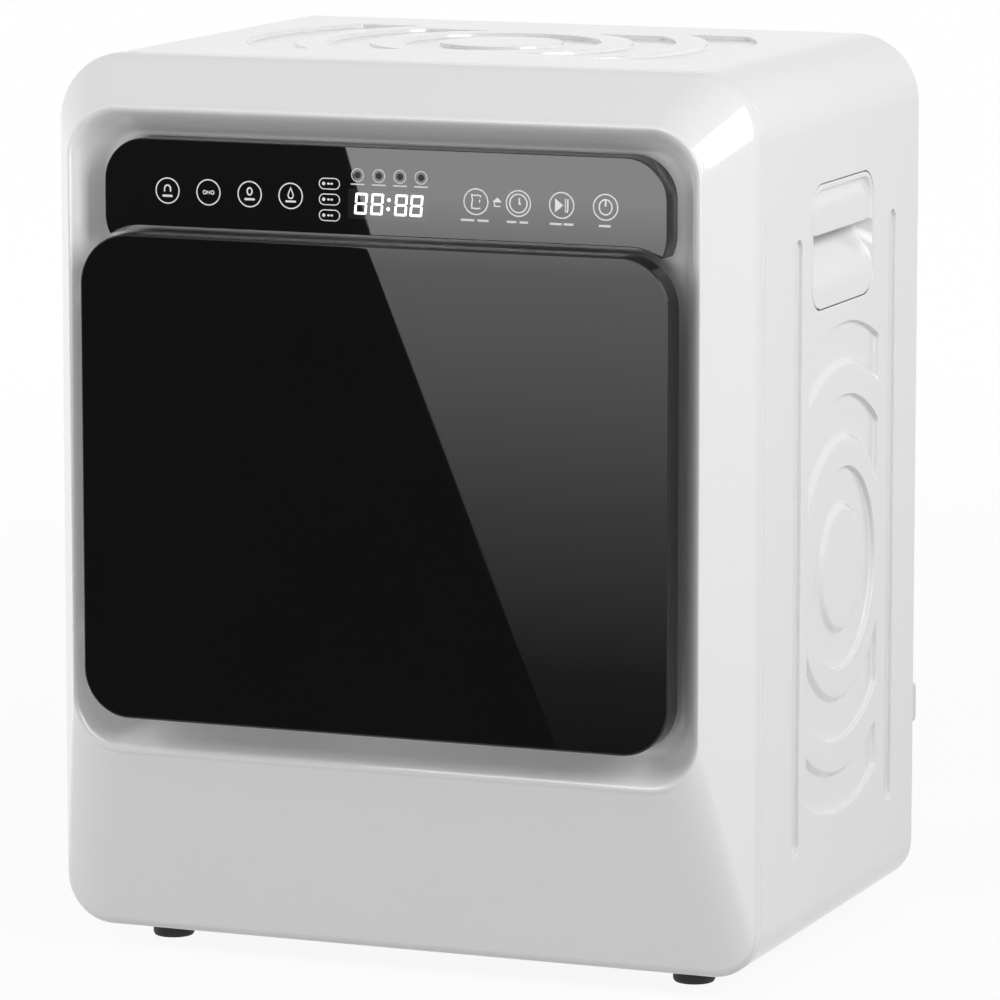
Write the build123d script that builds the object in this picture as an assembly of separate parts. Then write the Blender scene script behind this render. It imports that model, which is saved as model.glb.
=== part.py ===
from build123d import *
import math
import os

# Compact vented tumble dryer, millimetres. +X to the right seen from the front, -Y to the front, +Z up.
# The origin is on the floor, under the middle of the overall box.

# Cabinet envelope
CABINET_WIDTH = 490.0
CABINET_LENGTH = 326.0
BODY_HEIGHT = 587.0
FOOT_HEIGHT = 13.0
WALL = 2.5
TOP_RADIUS = 45.0
BOTTOM_RADIUS = 31.0
UNDER_LIP = 49.0
FIT = 0.3

# Front fascia: a sloping frame that rises to a ridge round a dished recess
FASCIA_DEPTH = 41.0
RIDGE_SIDE = 25.0
RIDGE_TOP = 31.0
RIDGE_BOTTOM = 130.5
RIDGE_RADIUS = 35.0
RIDGE_ROUND = 3.0
RIDGE_LAND = 2.0
FASCIA_WALL = 2.5
DISH_DEPTH = 24.0
DISH_INSET = 19.5
DISH_RADIUS = 22.0
REBATE_LENGTH = 10.0
REBATE_WALL = 2.0

# Door slab
DOOR_GAP = 15.5
DOOR_WIDTH = CABINET_WIDTH - 2 * (RIDGE_SIDE + DOOR_GAP)
PANEL_STRIP = 61.0
PANEL_TOP_GAP = 1.0
DOOR_LIFT = 23.8
DOOR_HEIGHT = BODY_HEIGHT - RIDGE_BOTTOM - RIDGE_TOP - DOOR_LIFT - DISH_INSET - PANEL_TOP_GAP - PANEL_STRIP
DOOR_PROUD = 16.0
DOOR_SLAB = 20.0
DOOR_TOP_RADIUS = 34.0
DOOR_BOTTOM_RADIUS = 32.0
GLASS_THICKNESS = 5.0
GLASS_BEVEL = 1.2
FRAME_RIM = 3.0
LINER_RADIUS = 150.0
LINER_GAP = 3.0
WINDOW_RADIUS = 112.0
WINDOW_WALL = 3.0
WINDOW_CROWN = 3.5
GASKET_INNER = 127.0
GASKET_OUTER = 139.0

# Door hinge, on the left
PIVOT_INSET = 9.5
PIVOT_DEPTH = 13.5
PIN_RADIUS = 3.0
PIN_LENGTH = 34.0
PIN_PLAY = 0.05
KNUCKLE_RADIUS = 5.0
KNUCKLE_HEIGHT = 12.0
HINGE_SPREAD = 112.0
NOTCH_PLAY = 1.0
BRACKET_THICKNESS = 2.0
BRACKET_HEIGHT = 30.0
BRACKET_WIDTH = 26.0

# Control panel
PANEL_SIDE_GAP = 5.2
PANEL_WIDTH = CABINET_WIDTH - 2 * (RIDGE_SIDE + DISH_INSET + PANEL_SIDE_GAP)
PANEL_EAR = 17.5
PANEL_HEIGHT = PANEL_STRIP + PANEL_EAR
PANEL_PROUD = 20.0
PANEL_RADIUS = 28.0
PANEL_DOOR_GAP = 4.0
PANEL_GLASS = 3.0
CARRIER_WALL = 2.5
BOARD_THICKNESS = 1.6
DISPLAY_WIDTH = 58.0
DISPLAY_HEIGHT = 21.0
DISPLAY_X = 4.8
DISPLAY_DROP = 37.0

# Door opening, throat and drum
OPENING_RADIUS = 122.0
OPENING_RISE = 163.0
THROAT_WALL = 3.0
DRUM_RADIUS = 200.0
DRUM_Z = 345.0
DRUM_LENGTH = 270.0
DRUM_FRONT_GAP = 13.5
DRUM_SHEET = 1.2
LIP_RADIUS = 152.0
LIP_LENGTH = 16.0
COLLAR_RADIUS = 148.0
COLLAR_LENGTH = 25.0
FELT_WIDTH = 5.0
GLIDE_WIDTH = 6.0
GLIDE_HALF_ANGLE = 14.0
VANE_HEIGHT = 34.0
VANE_WIDTH = 46.0
VANE_LENGTH = 210.0
AIR_HOLE_RADIUS = 3.2
AIR_HOLE_RINGS = (70.0, 84.0, 98.0)
AIR_HOLE_COUNT = 24

# Bulkheads and panels
SHEET = 1.5
BULKHEAD_SETBACK = 2.0
REAR_BULKHEAD_GAP = 11.0
REAR_PANEL = 2.0
REAR_FLANGE = 14.0
TRAY = 3.0
TRAY_RIM = 9.0

# Drum shaft and bearing
SHAFT_RADIUS = 8.0
SHAFT_LENGTH = 34.0
HUB_RADIUS = 36.0
HUB_THICKNESS = 4.0
BEARING_PLAY = 0.05
BUSH_WALL = 3.0
HOUSING_RADIUS = 30.0
HOUSING_LENGTH = 20.0

# Drive
MOTOR_X = -100.0
MOTOR_RISE = 78.5
MOTOR_RADIUS = 48.0
MOTOR_LENGTH = 90.0
MOTOR_GAP = 12.0
MOTOR_SHAFT_RADIUS = 6.0
PULLEY_RADIUS = 12.0
PULLEY_FLANGE = 3.0
BELT_WIDTH = 9.0
BELT_THICKNESS = 2.2
BELT_GAP = 17.0
IDLER_RADIUS = 14.0
IDLER_ARM_LENGTH = 46.0
IDLER_PIN_RADIUS = 4.0
ARM_THICKNESS = 4.0

# Air path
BLOWER_RADIUS = 60.0
BLOWER_LENGTH = 42.0
BLOWER_WALL = 2.0
IMPELLER_RADIUS = 50.0
IMPELLER_LENGTH = 28.0
INLET_RADIUS = 30.0
EXHAUST_X = 95.0
EXHAUST_RISE = 7.5
EXHAUST_RADIUS = 49.0
EXHAUST_WALL = 2.0
SPIGOT_LENGTH = 25.0
SPIGOT_FLANGE = 11.0
CHANNEL_GAP = 8.5
FILTER_WIDTH = 140.0
FILTER_HEIGHT = 94.0
FILTER_THICKNESS = 7.0
FILTER_PLAY = 0.6
FILTER_GRIP = 8.0
DUCT_WALL = 1.6
DUCT_DEPTH = 14.0
DUCT_BOTTOM = 64.0
HEATER_RADIUS = 125.0
HEATER_DEPTH = 24.0
HEATER_NECK = 140.0
HEATER_RISE = 200.0
HEATER_BLOCK_HEIGHT = 26.0
INTAKE_WIDTH = 116.0
INTAKE_HEIGHT = 44.0
INTAKE_SLOTS = 7

# Side and top relief
RELIEF_DEPTH = 4.0
RELIEF_SLOPE = 4.0
RELIEF_Y = 17.0
RELIEF_Z = 258.0
DISC_RADIUS = 40.0
RING_BANDS = ((40.0, 68.0, False), (86.0, 116.0, True), (136.0, 164.5, True))
STRIP_HALF = 73.0
GROOVE_WIDTH = 10.0
GROOVE_SPREAD = 97.0
GROOVE_BOTTOM = 82.0
GROOVE_TOP = 485.0

# Grip recesses in both sides
GRIP_WIDTH = 129.0
GRIP_BOTTOM = 436.0
GRIP_HEIGHT = 83.0
GRIP_RADIUS = 20.0
GRIP_DEPTH = 36.0
GRIP_WALL = 2.5
GRIP_LIP = 31.0
GRIP_LIP_WALL = 4.0
GRIP_RIM = 5.0
GRIP_FLANGE = 5.0
GRIP_GAP = 0.5

# Feet, spacers and small parts
FOOT_RADIUS = 14.0
FOOT_X = 58.0
FOOT_INSET = 44.0
FOOT_STUD = 4.0
SPACER_DEPTH = 28.0
SPACER_WIDTH = 30.0
SPACER_HEIGHT = 30.0
SPACER_INSET = 6.0
SPACER_Z = 135.0
SCREW_RADIUS = 3.5
SCREW_HEAD = 2.0
LATCH_INSET = 21.5
LATCH_SLOT_WIDTH = 14.0
LATCH_SLOT_HEIGHT = 30.0
HOOK_WIDTH = 6.0
HOOK_HEIGHT = 16.0
HOOK_REACH = 14.5
HOOK_BARB = 2.0
CATCH_DEPTH = 15.5
LATCH_POST = 2.0
SWITCH_DROP = 62.0
PLUNGER_RADIUS = 3.0
GLAND_INSET = 50.0
GLAND_Z = 62.0
GLAND_RADIUS = 9.0
BOX_GAP = 8.0
BOX_SETBACK = 20.0
BOX_LENGTH = 130.0
BOX_HEIGHT = 60.0
CAPACITOR_RADIUS = 18.0
CAPACITOR_HEIGHT = 62.0
CAPACITOR_GAP = 18.0
CAPACITOR_TAG = 10.0
CRADLE_WIDTH = 80.0
CRADLE_INSET = 14.0
CRADLE_DROP = 22.0
CRADLE_LEG = 10.0
POST_WIDTH = 24.0

# Derived planes
HALF_WIDTH = CABINET_WIDTH / 2
OVERALL_DEPTH = DOOR_PROUD + FASCIA_DEPTH + CABINET_LENGTH + SPACER_DEPTH
Y_DOOR = -OVERALL_DEPTH / 2
Y_RIDGE = Y_DOOR + DOOR_PROUD
Y_EDGE = Y_RIDGE + FASCIA_DEPTH
Y_REAR = Y_EDGE + CABINET_LENGTH
Y_FLOOR = Y_RIDGE + DISH_DEPTH
Y_BEHIND_FLOOR = Y_FLOOR + FASCIA_WALL
Z_BOTTOM = FOOT_HEIGHT
Z_TOP = Z_BOTTOM + BODY_HEIGHT
Z_TRAY = Z_BOTTOM + WALL
Z_DECK = Z_TRAY + TRAY
MOTOR_Z = Z_DECK + MOTOR_RISE
EXHAUST_Z = Z_DECK + EXHAUST_RADIUS + EXHAUST_RISE
CHANNEL_HEIGHT = DRUM_Z - DRUM_RADIUS - CHANNEL_GAP - Z_DECK
RIDGE_LOW = Z_BOTTOM + RIDGE_BOTTOM
RIDGE_HIGH = Z_TOP - RIDGE_TOP
Y_BULKHEAD = Y_EDGE + BULKHEAD_SETBACK
Y_BEHIND_BULKHEAD = Y_BULKHEAD + SHEET
Y_DRUM = Y_BULKHEAD + DRUM_FRONT_GAP
Y_DRUM_BACK = Y_DRUM + DRUM_LENGTH
Y_REAR_BULKHEAD = Y_DRUM_BACK + REAR_BULKHEAD_GAP
Y_PLENUM = Y_REAR_BULKHEAD + SHEET
Y_PANEL_INNER = Y_REAR - REAR_PANEL
Z_OPENING = RIDGE_LOW + OPENING_RISE + DOOR_LIFT
Z_DOOR = RIDGE_LOW + DOOR_LIFT
Z_DOOR_TOP = Z_DOOR + DOOR_HEIGHT
DOOR_HALF = DOOR_WIDTH / 2
LATCH_X = DOOR_HALF - LATCH_INSET
GLAND_X = -HALF_WIDTH + GLAND_INSET
Y_SLAB_BACK = Y_DOOR + DOOR_SLAB
Y_GLASS_BACK = Y_DOOR + GLASS_THICKNESS
Y_LINER_BACK = Y_FLOOR - LINER_GAP
PIVOT_X = -DOOR_HALF + PIVOT_INSET
PIVOT_Y = Y_DOOR + PIVOT_DEPTH
Z_PANEL_TOP = RIDGE_HIGH - DISH_INSET - PANEL_TOP_GAP
Z_PANEL_LOW = Z_PANEL_TOP - PANEL_HEIGHT
PANEL_HALF = PANEL_WIDTH / 2
Y_PANEL = Y_FLOOR - PANEL_PROUD
Y_CARRIER = Y_PANEL + PANEL_GLASS
Y_BOARD = Y_CARRIER + 8.5
Y_BLOWER_BACK = Y_BEHIND_BULKHEAD + BLOWER_LENGTH
Y_MOTOR = Y_BLOWER_BACK + MOTOR_GAP
Y_MOTOR_BACK = Y_MOTOR + MOTOR_LENGTH
BELT_Y = Y_MOTOR_BACK + BELT_GAP
FILTER_HALF = FILTER_WIDTH / 2
Z_FILTER = Z_OPENING - OPENING_RADIUS - 2.0 - FILTER_HEIGHT
Y_DUCT = Y_BULKHEAD - DUCT_DEPTH
Y_FILTER = Y_BULKHEAD - DUCT_DEPTH / 2
Y_SPIGOT_END = Y_REAR + SPIGOT_LENGTH


def outline(half, z0, z1, r_top, r_bottom, y, x=0.0):
    """Rounded rectangle that faces the front, as a closed wire with its edges always in one order."""
    k = math.sqrt(0.5)
    x0, x1 = x - half, x + half
    lows = (r_bottom, r_bottom * k)
    highs = (r_top, r_top * k)
    corners = (
        ((x1 - lows[0], z0), (x1 - lows[0] + lows[1], z0 + lows[0] - lows[1]), (x1, z0 + lows[0])),
        ((x1, z1 - highs[0]), (x1 - highs[0] + highs[1], z1 - highs[0] + highs[1]), (x1 - highs[0], z1)),
        ((x0 + highs[0], z1), (x0 + highs[0] - highs[1], z1 - highs[0] + highs[1]), (x0, z1 - highs[0])),
        ((x0, z0 + lows[0]), (x0 + lows[0] - lows[1], z0 + lows[0] - lows[1]), (x0 + lows[0], z0)),
    )
    edges = []
    last = corners[-1][-1]
    for start, middle, end in corners:
        edges.append(Edge.make_line((last[0], y, last[1]), (start[0], y, start[1])))
        edges.append(Edge.make_three_point_arc(*[(p[0], y, p[1]) for p in (start, middle, end)]))
        last = end
    return Wire(edges)


def slab(half, z0, z1, r_top, r_bottom, y0, y1, x=0.0):
    """Rounded rectangle block between two planes across Y."""
    face = Face(outline(half, z0, z1, r_top, r_bottom, y0, x))
    return Solid.extrude(face, Vector(0, y1 - y0, 0))


def stack(*wires):
    """Solid through a row of outlines, with straight sides from each to the next."""
    return Solid.make_loft(list(wires), ruled=True)


def block(x0, x1, y0, y1, z0, z1):
    """Axis-aligned block from its limits."""
    return Solid.make_box(x1 - x0, y1 - y0, z1 - z0, Plane(origin=(x0, y0, z0)))


def rod_y(radius, y0, y1, x=0.0, z=0.0):
    """Cylinder along Y."""
    return Solid.make_cylinder(radius, y1 - y0, Plane(origin=(x, y0, z), x_dir=(1, 0, 0), z_dir=(0, 1, 0)))


def rod_z(radius, z0, z1, x=0.0, y=0.0):
    """Cylinder along Z."""
    return Solid.make_cylinder(radius, z1 - z0, Plane(origin=(x, y, z0)))


def tube_y(outer, inner, y0, y1, x=0.0, z=0.0):
    """Tube along Y."""
    return rod_y(outer, y0, y1, x, z) - rod_y(inner, y0 - 1, y1 + 1, x, z)


def cone_y(r0, r1, y0, y1, x=0.0, z=0.0):
    """Cone along Y, from one radius to the other."""
    return Solid.make_cone(r0, r1, y1 - y0, Plane(origin=(x, y0, z), x_dir=(1, 0, 0), z_dir=(0, 1, 0)))


def prism_y(points, y0, y1):
    """Polygon in XZ drawn out along Y."""
    wire = Wire.make_polygon([(px, y0, pz) for px, pz in points], close=True)
    return Solid.extrude(Face(wire), Vector(0, y1 - y0, 0))


def prism_z(points, z0, z1):
    """Polygon in XY drawn out along Z."""
    wire = Wire.make_polygon([(px, py, z0) for px, py in points], close=True)
    return Solid.extrude(Face(wire), Vector(0, 0, z1 - z0))


def merged(first, *others):
    """One body out of several that touch or overlap."""
    for other in others:
        first = first + other
    return first


def mirrored(shape):
    """The same piece on the other side of the cabinet."""
    return shape.mirror(Plane.YZ)


def cabinet_section(inset, y0, y1):
    """The cabinet's rounded section, drawn in by an inset."""
    return slab(
        HALF_WIDTH - inset, Z_BOTTOM + inset, Z_TOP - inset,
        TOP_RADIUS - inset, BOTTOM_RADIUS - inset, y0, y1,
    )


def ring_groove(inner, outer):
    """Sunk ring with sloping walls, its mouth at the local plane z = 0."""
    over = 1.0
    run = RELIEF_SLOPE * over / RELIEF_DEPTH
    bowl = Solid.make_cone(
        outer - RELIEF_SLOPE, outer + run, RELIEF_DEPTH + over, Plane(origin=(0, 0, -RELIEF_DEPTH)),
    )
    core = Solid.make_cone(
        inner + RELIEF_SLOPE, inner - run, RELIEF_DEPTH + over, Plane(origin=(0, 0, -RELIEF_DEPTH)),
    )
    return bowl - core


def strip_wedge():
    """Band that cuts the wide rings off, with the same sloping walls."""
    over = 1.0
    run = RELIEF_SLOPE * over / RELIEF_DEPTH
    low, high = STRIP_HALF - RELIEF_SLOPE, STRIP_HALF + run
    length = RING_BANDS[-1][1] + 10
    points = [(-length, -low, -RELIEF_DEPTH), (-length, low, -RELIEF_DEPTH), (-length, high, over),
              (-length, -high, over)]
    return Solid.extrude(Face(Wire.make_polygon(points, close=True)), Vector(2 * length, 0, 0))


def ring_tools():
    """All sunk rings of one relief, round the local origin, with the clip band along local X."""
    wedge = strip_wedge()
    tools = []
    for inner, outer, clipped in RING_BANDS:
        groove = ring_groove(inner, outer)
        if clipped:
            tools.extend((groove & wedge).solids())
        else:
            tools.append(groove)
    return tools


def long_groove(z0, z1, y):
    """Tapered upright groove in the right side."""
    over = 1.0
    depth = RELIEF_DEPTH - 1.0
    run = GROOVE_WIDTH / 4 * over / depth
    middle, length = (z0 + z1) / 2, z1 - z0
    wires = []
    for x, half in ((HALF_WIDTH - depth, GROOVE_WIDTH / 4), (HALF_WIDTH + over, GROOVE_WIDTH / 2 + run)):
        plane = Plane(origin=(x, y, middle), x_dir=(0, 0, 1), z_dir=(1, 0, 0))
        sketch = plane * SlotOverall(length - GROOVE_WIDTH + 2 * half, 2 * half)
        wires.append(sketch.faces()[0].outer_wire())
    return Solid.make_loft(wires, ruled=True)


def side_relief():
    """Relief tools of the right side."""
    plane = Plane(origin=(HALF_WIDTH, RELIEF_Y, RELIEF_Z), x_dir=(0, 0, 1), z_dir=(1, 0, 0))
    tools = [tool.moved(plane.location) for tool in ring_tools()]
    for side in (-1, 1):
        tools.append(long_groove(GROOVE_BOTTOM, GROOVE_TOP, RELIEF_Y + side * GROOVE_SPREAD))
    return tools


def top_relief():
    """Relief tools of the top."""
    plane = Plane(origin=(0, RELIEF_Y, Z_TOP), x_dir=(1, 0, 0), z_dir=(0, 0, 1))
    return [tool.moved(plane.location) for tool in ring_tools()]


def grip_outline(x, inset):
    """The grip's rounded outline in the plane of the right side."""
    plane = Plane(origin=(x, RELIEF_Y, GRIP_BOTTOM + GRIP_HEIGHT / 2), x_dir=(0, 1, 0), z_dir=(1, 0, 0))
    sketch = plane * RectangleRounded(GRIP_WIDTH - 2 * inset, GRIP_HEIGHT - 2 * inset, GRIP_RADIUS - inset)
    return sketch.faces()[0]


def grip_block(x0, x1, inset):
    """Rounded block through the right side, on the grip's outline."""
    return Solid.extrude(grip_outline(x0, inset), Vector(x1 - x0, 0, 0))


def cabinet_wrap():
    """Top, sides and curled-under edges in one moulding, with sunk rings and grooves."""
    body = cabinet_section(0, Y_EDGE, Y_REAR)
    hollow = cabinet_section(WALL, Y_EDGE - 1, Y_REAR + 1)
    right = side_relief()
    left = [mirrored(tool) for tool in right]
    top = top_relief()
    for tools, shift in ((right, (-WALL, 0, 0)), (left, (WALL, 0, 0)), (top, (0, 0, -WALL))):
        for tool in tools:
            hollow = hollow - tool.moved(Location(shift))
    body = body - hollow
    for tool in right + left + top:
        body = body - tool
    inner = HALF_WIDTH - BOTTOM_RADIUS - UNDER_LIP
    body = body - block(-inner, inner, Y_EDGE - 1, Y_REAR + 1, Z_BOTTOM - 1, Z_BOTTOM + WALL + 1)
    flange = cabinet_section(WALL - 0.2, Y_PANEL_INNER - REAR_PANEL, Y_PANEL_INNER)
    flange = flange - cabinet_section(REAR_FLANGE, Y_PANEL_INNER - REAR_PANEL - 1, Y_PANEL_INNER + 1)
    flange = flange - block(-HALF_WIDTH, HALF_WIDTH, Y_EDGE, Y_REAR, 0, Z_DECK + TRAY_RIM + 1)
    body = body + flange
    hole = grip_block(HALF_WIDTH - 10, HALF_WIDTH + 10, 0)
    body = body - hole - mirrored(hole)
    for x, y in foot_places():
        body = body - rod_z(FOOT_STUD + FIT, 0, Z_DECK, x, y)
    return body


def foot_places():
    """Centres of the four feet."""
    return [(sx * (HALF_WIDTH - FOOT_X), y) for sx in (-1, 1) for y in (Y_EDGE + FOOT_INSET, Y_REAR - FOOT_INSET)]


def frustum(depth, inset=0.0, wall=0.0):
    """Outline of the fascia's sloping outside at a depth behind the ridge, drawn in square to its sides."""
    rest = 1 - depth / FASCIA_DEPTH
    side = inset + wall * math.hypot(1, RIDGE_SIDE / FASCIA_DEPTH)
    top = inset + wall * math.hypot(1, RIDGE_TOP / FASCIA_DEPTH)
    low = inset + wall * math.hypot(1, RIDGE_BOTTOM / FASCIA_DEPTH)
    r_top = RIDGE_RADIUS * rest + TOP_RADIUS * (1 - rest) - inset - wall
    r_bottom = RIDGE_RADIUS * rest + BOTTOM_RADIUS * (1 - rest) - inset - wall
    return outline(
        HALF_WIDTH - RIDGE_SIDE * rest - side, Z_BOTTOM + RIDGE_BOTTOM * rest + low,
        Z_TOP - RIDGE_TOP * rest - top, r_top, r_bottom, Y_RIDGE + depth,
    )


def dish_outline(depth, out=0.0):
    """Outline of the dished recess at a depth behind the ridge."""
    share = depth / DISH_DEPTH
    inset = RIDGE_LAND + (DISH_INSET - RIDGE_LAND) * share - out
    radius = RIDGE_RADIUS - RIDGE_LAND + (DISH_RADIUS - RIDGE_RADIUS + RIDGE_LAND) * share + out
    return outline(
        HALF_WIDTH - RIDGE_SIDE - inset, RIDGE_LOW + inset, RIDGE_HIGH - inset, radius, radius, Y_RIDGE + depth,
    )


def dish_cutter():
    """Space of the dish, with the ridge's rounded inner edge."""
    curl = RIDGE_ROUND
    return stack(
        dish_outline(-2.0, 1.9), dish_outline(0.0, 0.4), dish_outline(curl * 0.3, 0.0),
        dish_outline(DISH_DEPTH),
    )


def front_fascia():
    """White front frame: sloping outside, rounded ridge, dished recess and a rebate that enters the cabinet."""
    curl = RIDGE_ROUND
    outer = stack(frustum(0, 1.0), frustum(curl * 0.4, 0.35), frustum(curl), frustum(FASCIA_DEPTH))
    hollow = stack(frustum(curl, 0, FASCIA_WALL), frustum(FASCIA_DEPTH + 1, 0, FASCIA_WALL))
    shell = FASCIA_WALL * math.hypot(1, (DISH_INSET - RIDGE_LAND) / DISH_DEPTH)
    backed = stack(dish_outline(-1, shell), dish_outline(DISH_DEPTH + FASCIA_WALL, shell))
    body = outer - (hollow - backed) - dish_cutter()
    body = body + rebate_ring()
    body = body - rod_y(OPENING_RADIUS + THROAT_WALL + FIT, Y_FLOOR - 5, Y_EDGE, 0, Z_OPENING)
    body = body - latch_slot() - switch_hole() - panel_loom_hole()
    for x, z in bracket_screws():
        body = body - rod_y(SCREW_RADIUS / 2, Y_FLOOR - 5, Y_BEHIND_FLOOR + 1, x, z)
    return body


def rebate_ring():
    """Ring at the back of the fascia that slips inside the cabinet wrap."""
    start = WALL + FIT
    bore = start + REBATE_WALL
    y1 = Y_EDGE + REBATE_LENGTH
    ring = cabinet_section(start, Y_EDGE - 12, y1) - cabinet_section(bore, Y_EDGE - 13, y1 + 1)
    inside = stack(frustum(0), frustum(FASCIA_DEPTH)) + cabinet_section(0, Y_EDGE, y1)
    ring = ring & inside
    return ring - block(-HALF_WIDTH, HALF_WIDTH, Y_EDGE + FIT, y1 + 1, Z_BOTTOM, Z_DECK + FIT)


def latch_slot():
    """Slot in the dish floor for the door's hook."""
    half = LATCH_SLOT_HEIGHT / 2
    return block(
        LATCH_X - LATCH_SLOT_WIDTH / 2, LATCH_X + LATCH_SLOT_WIDTH / 2, Y_FLOOR - 1, Y_BEHIND_FLOOR + 1,
        Z_OPENING - half, Z_OPENING + half,
    )


def switch_hole():
    """Hole in the dish floor for the door switch's plunger."""
    return rod_y(PLUNGER_RADIUS + FIT, Y_FLOOR - 1, Y_BEHIND_FLOOR + 1, LATCH_X, Z_OPENING - SWITCH_DROP)


def panel_loom_hole():
    """Wiring hole behind the control panel."""
    return block(-20, 20, Y_FLOOR - 1, Y_BEHIND_FLOOR + 1, Z_PANEL_TOP - 34, Z_PANEL_TOP - 18)


def rear_panel():
    """Flat sheet that closes the back, with the exhaust hole, the intake window and the gland hole."""
    panel = cabinet_section(WALL + FIT, Y_PANEL_INNER, Y_REAR)
    panel = panel - block(-HALF_WIDTH, HALF_WIDTH, Y_PANEL_INNER - 1, Y_REAR + 1, 0, Z_DECK + FIT)
    panel = panel - rod_y(EXHAUST_RADIUS + FIT, Y_PANEL_INNER - 1, Y_REAR + 1, EXHAUST_X, EXHAUST_Z)
    panel = panel - intake_window(0)
    panel = panel - rod_y(GLAND_RADIUS, Y_PANEL_INNER - 1, Y_REAR + 1, GLAND_X, GLAND_Z)
    for x, z in panel_screws() + spacer_places():
        panel = panel - rod_y(SCREW_RADIUS / 2 + 0.05, Y_PANEL_INNER - 1, Y_REAR + 1, x, z)
    for x, z in spigot_screws():
        panel = panel - rod_y(SCREW_RADIUS / 2 + 0.05, Y_PANEL_INNER - 1, Y_REAR + 1, x, z)
    return panel


def intake_window(inset):
    """Window of the air intake through the rear panel."""
    half = INTAKE_WIDTH / 2 - inset
    top = DRUM_Z + HEATER_RISE - 8 - inset
    return block(-half, half, Y_PANEL_INNER - 10, Y_REAR + 5, top - INTAKE_HEIGHT + 2 * inset, top)


def panel_screws():
    """Places of the rear panel's edge screws."""
    x = HALF_WIDTH - REAR_FLANGE + 4
    low, high = Z_BOTTOM + BOTTOM_RADIUS + 20, Z_TOP - TOP_RADIUS
    middle = (low + high) / 2
    top = Z_TOP - REAR_FLANGE + 4
    return [(-x, low), (x, low), (-x, middle), (x, middle), (-x, high), (x, high),
            (-HALF_WIDTH / 2, top), (HALF_WIDTH / 2, top)]


def spigot_screws():
    """Places of the exhaust spigot's screws."""
    reach = (EXHAUST_RADIUS + SPIGOT_FLANGE / 2 + 1) * math.sqrt(0.5)
    return [(EXHAUST_X + sx * reach, EXHAUST_Z + sz * reach) for sx in (-1, 1) for sz in (-1, 1)]


def spacer_places():
    """Centres of the two wall spacers on the rear panel."""
    x = HALF_WIDTH - SPACER_INSET - SPACER_WIDTH / 2
    return [(-x, SPACER_Z), (x, SPACER_Z)]


def rear_screws():
    """Screws of the rear panel and the exhaust spigot."""
    screws = []
    flange = REAR_PANEL
    for x, z in panel_screws():
        head = rod_y(SCREW_RADIUS, Y_REAR, Y_REAR + SCREW_HEAD, x, z)
        screws.append(head + rod_y(SCREW_RADIUS / 2, Y_PANEL_INNER, Y_REAR + 0.5, x, z) - cross(x, z, Y_REAR))
    for x, z in spigot_screws():
        seat = Y_REAR + flange
        head = rod_y(SCREW_RADIUS, seat, seat + SCREW_HEAD, x, z)
        screws.append(head + rod_y(SCREW_RADIUS / 2, Y_PANEL_INNER, seat + 0.5, x, z) - cross(x, z, seat))
    return screws


def cross(x, z, seat):
    """Cross recess of a screw head on the back."""
    y0, y1 = seat + SCREW_HEAD - 1.0, seat + SCREW_HEAD + 1
    long, short = SCREW_RADIUS * 0.6, 0.5
    return block(x - long, x + long, y0, y1, z - short, z + short) + block(
        x - short, x + short, y0, y1, z - long, z + long,
    )


def base_tray():
    """Floor plate of the cabinet, with an upturned rim at the front and the back."""
    half = HALF_WIDTH - BOTTOM_RADIUS
    y0, y1 = Y_BEHIND_BULKHEAD + FIT, Y_PANEL_INNER - FIT
    tray = block(-half, half, y0, y1, Z_TRAY, Z_DECK)
    tray = tray + block(-half, half, y1 - TRAY, y1, Z_TRAY, Z_DECK + TRAY_RIM)
    tray = tray - rod_y(EXHAUST_RADIUS + SPIGOT_FLANGE, y1 - TRAY - 1, y1 + 1, EXHAUST_X, EXHAUST_Z)
    for x, y in foot_places():
        tray = tray - rod_z(FOOT_STUD + FIT, Z_TRAY - 1, Z_DECK + 1, x, y)
    return tray


def feet():
    """Four rubber feet, each with a stud that goes up through the cabinet's floor."""
    made = []
    for x, y in foot_places():
        pad = Solid.make_cone(FOOT_RADIUS - 1, FOOT_RADIUS, 2, Plane(origin=(x, y, 0)))
        pad = pad + rod_z(FOOT_RADIUS, 2, FOOT_HEIGHT - 3, x, y)
        pad = pad + Solid.make_cone(FOOT_RADIUS, FOOT_RADIUS - 2, 3, Plane(origin=(x, y, FOOT_HEIGHT - 3)))
        pad = pad + rod_z(FOOT_STUD, FOOT_HEIGHT - 1, Z_DECK, x, y)
        pad = pad + Solid.make_cone(FOOT_STUD + 2.5, FOOT_STUD, 5, Plane(origin=(x, y, Z_DECK)))
        made.append(pad)
    return made


def grip_insert():
    """Grip recess of the right side: a face in the cabinet's cutout, a rim behind it and a hand pocket."""
    face = grip_block(HALF_WIDTH - WALL, HALF_WIDTH, GRIP_GAP)
    rim = grip_block(HALF_WIDTH - WALL - FIT - 2, HALF_WIDTH - WALL - FIT, -GRIP_FLANGE)
    neck = grip_block(HALF_WIDTH - WALL - FIT - 1, HALF_WIDTH - WALL, GRIP_GAP)
    shell = grip_block(HALF_WIDTH - GRIP_DEPTH - GRIP_WALL, HALF_WIDTH - WALL - FIT - 1, GRIP_GAP + 1)
    body = merged(face, neck, rim, shell)
    return body - grip_pocket()


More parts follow.
